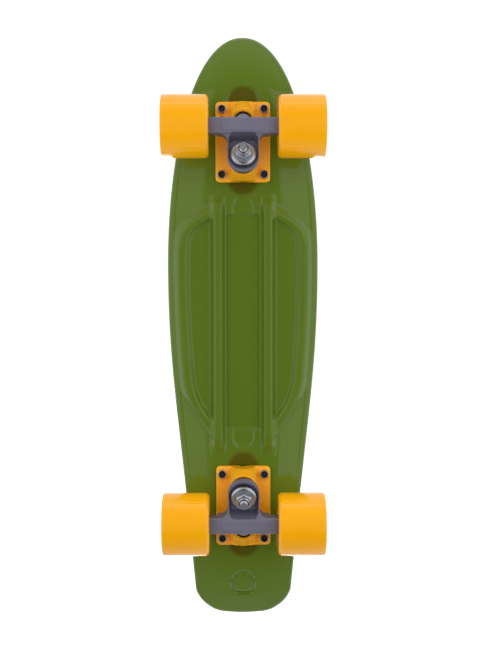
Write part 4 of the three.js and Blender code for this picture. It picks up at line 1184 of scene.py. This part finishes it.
def floor_finish():
    finish = Finish("pale_floor", Roughness=0.7)
    finish.shader.inputs["Base Color"].default_value = (0.82, 0.82, 0.82, 1)
    clear = finish.tree.nodes.new("ShaderNodeBsdfTransparent")
    side = finish.node("ShaderNodeNewGeometry", output="Backfacing")
    mixed = finish.tree.nodes.new("ShaderNodeMixShader")
    finish.tree.links.new(side.socket, mixed.inputs[0])
    finish.tree.links.new(finish.shader.outputs[0], mixed.inputs[1])
    finish.tree.links.new(clear.outputs[0], mixed.inputs[2])
    finish.tree.links.new(mixed.outputs[0], finish.tree.nodes["Material Output"].inputs[0])
    return finish.material


floor.data.materials.append(floor_finish())
floor.visible_shadow = False
floor.visible_diffuse = False
floor.visible_glossy = False

# %% Light
def soft_box(name, place, aim, size, power, tint=(1, 1, 1)):
    light = bpy.data.lights.new(name, "AREA")
    light.shape = "RECTANGLE"
    light.size, light.size_y = size
    light.energy = power
    light.color = tint
    lamp = bpy.data.objects.new(name, light)
    bpy.context.scene.collection.objects.link(lamp)
    lamp.location = place
    lamp.rotation_euler = (Vector(aim) - Vector(place)).to_track_quat("-Z", "Y").to_euler()
    return lamp


soft_box("left_box", (-0.85, 0.15, -0.95), (-0.4, 0.1, 0.08), (1.4, 1.1), 3.2)
soft_box("right_box", (0.85, 0.15, -0.95), (0.4, 0.1, 0.08), (1.4, 1.1), 2.5)
soft_box("nose_strip", (0, 1.7, -0.12), (0, 0.2, 0.03), (1.6, 0.07), 1.1)
soft_box("sky_box", (0.3, -0.8, 1.6), (0, 0, 0.05), (1.2, 1.2), 18)
fill = soft_box("fill", (0, 0.2, -1.35), (0, 0.1, 0.05), (1.6, 1.4), 13)
fill.visible_glossy = False


def studio_world():
    world = bpy.data.worlds.new("studio")
    bpy.context.scene.world = world
    world.use_nodes = True
    tree = world.node_tree
    place = tree.nodes.new("ShaderNodeTexCoord")
    split = tree.nodes.new("ShaderNodeSeparateXYZ")
    tree.links.new(place.outputs["Generated"], split.inputs[0])
    ramp = tree.nodes.new("ShaderNodeMapRange")
    ramp.inputs["From Min"].default_value = -1.0
    ramp.inputs["From Max"].default_value = 0.0
    ramp.inputs["To Min"].default_value = 0.25
    ramp.inputs["To Max"].default_value = 1.06
    tilt = tree.nodes.new("ShaderNodeMath")
    tilt.operation = "MULTIPLY_ADD"
    tree.links.new(split.outputs["Y"], tilt.inputs[0])
    tilt.inputs[1].default_value = 0.12
    tree.links.new(split.outputs["Z"], tilt.inputs[2])
    tree.links.new(tilt.outputs[0], ramp.inputs["Value"])
    steep = tree.nodes.new("ShaderNodeMath")
    steep.operation = "POWER"
    steep.inputs[1].default_value = 2.0
    tree.links.new(ramp.outputs[0], steep.inputs[0])
    sky = tree.nodes["Background"]
    tree.links.new(steep.outputs[0], sky.inputs["Color"])
    sky.inputs["Strength"].default_value = 1.0


studio_world()

# %% Camera
def add_camera(place, target, up, lens):
    """A camera at a place, looking at a target, with the given direction upwards in the picture."""
    data = bpy.data.cameras.new("camera")
    data.lens = lens
    data.sensor_width = 36
    camera = bpy.data.objects.new("camera", data)
    bpy.context.scene.collection.objects.link(camera)
    forward = (Vector(target) - Vector(place)).normalized()
    right = forward.cross(Vector(up)).normalized()
    above = right.cross(forward)
    turn = Matrix((right, above, -forward)).transposed()
    camera.matrix_world = Matrix.Translation(place) @ turn.to_4x4()
    bpy.context.scene.camera = camera
    return camera


add_camera((0.011, MIDDLE_Y + 0.048, -1.12), (-0.001, MIDDLE_Y - 0.0005, 0.08), (-0.0014, 1, 0), 67.03)
bpy.context.scene.view_settings.view_transform = "Standard"

# %% [markdown]
# ## Finish
# The finished board is meant to stay inside the CAD model's box.

# %% Finish
import json
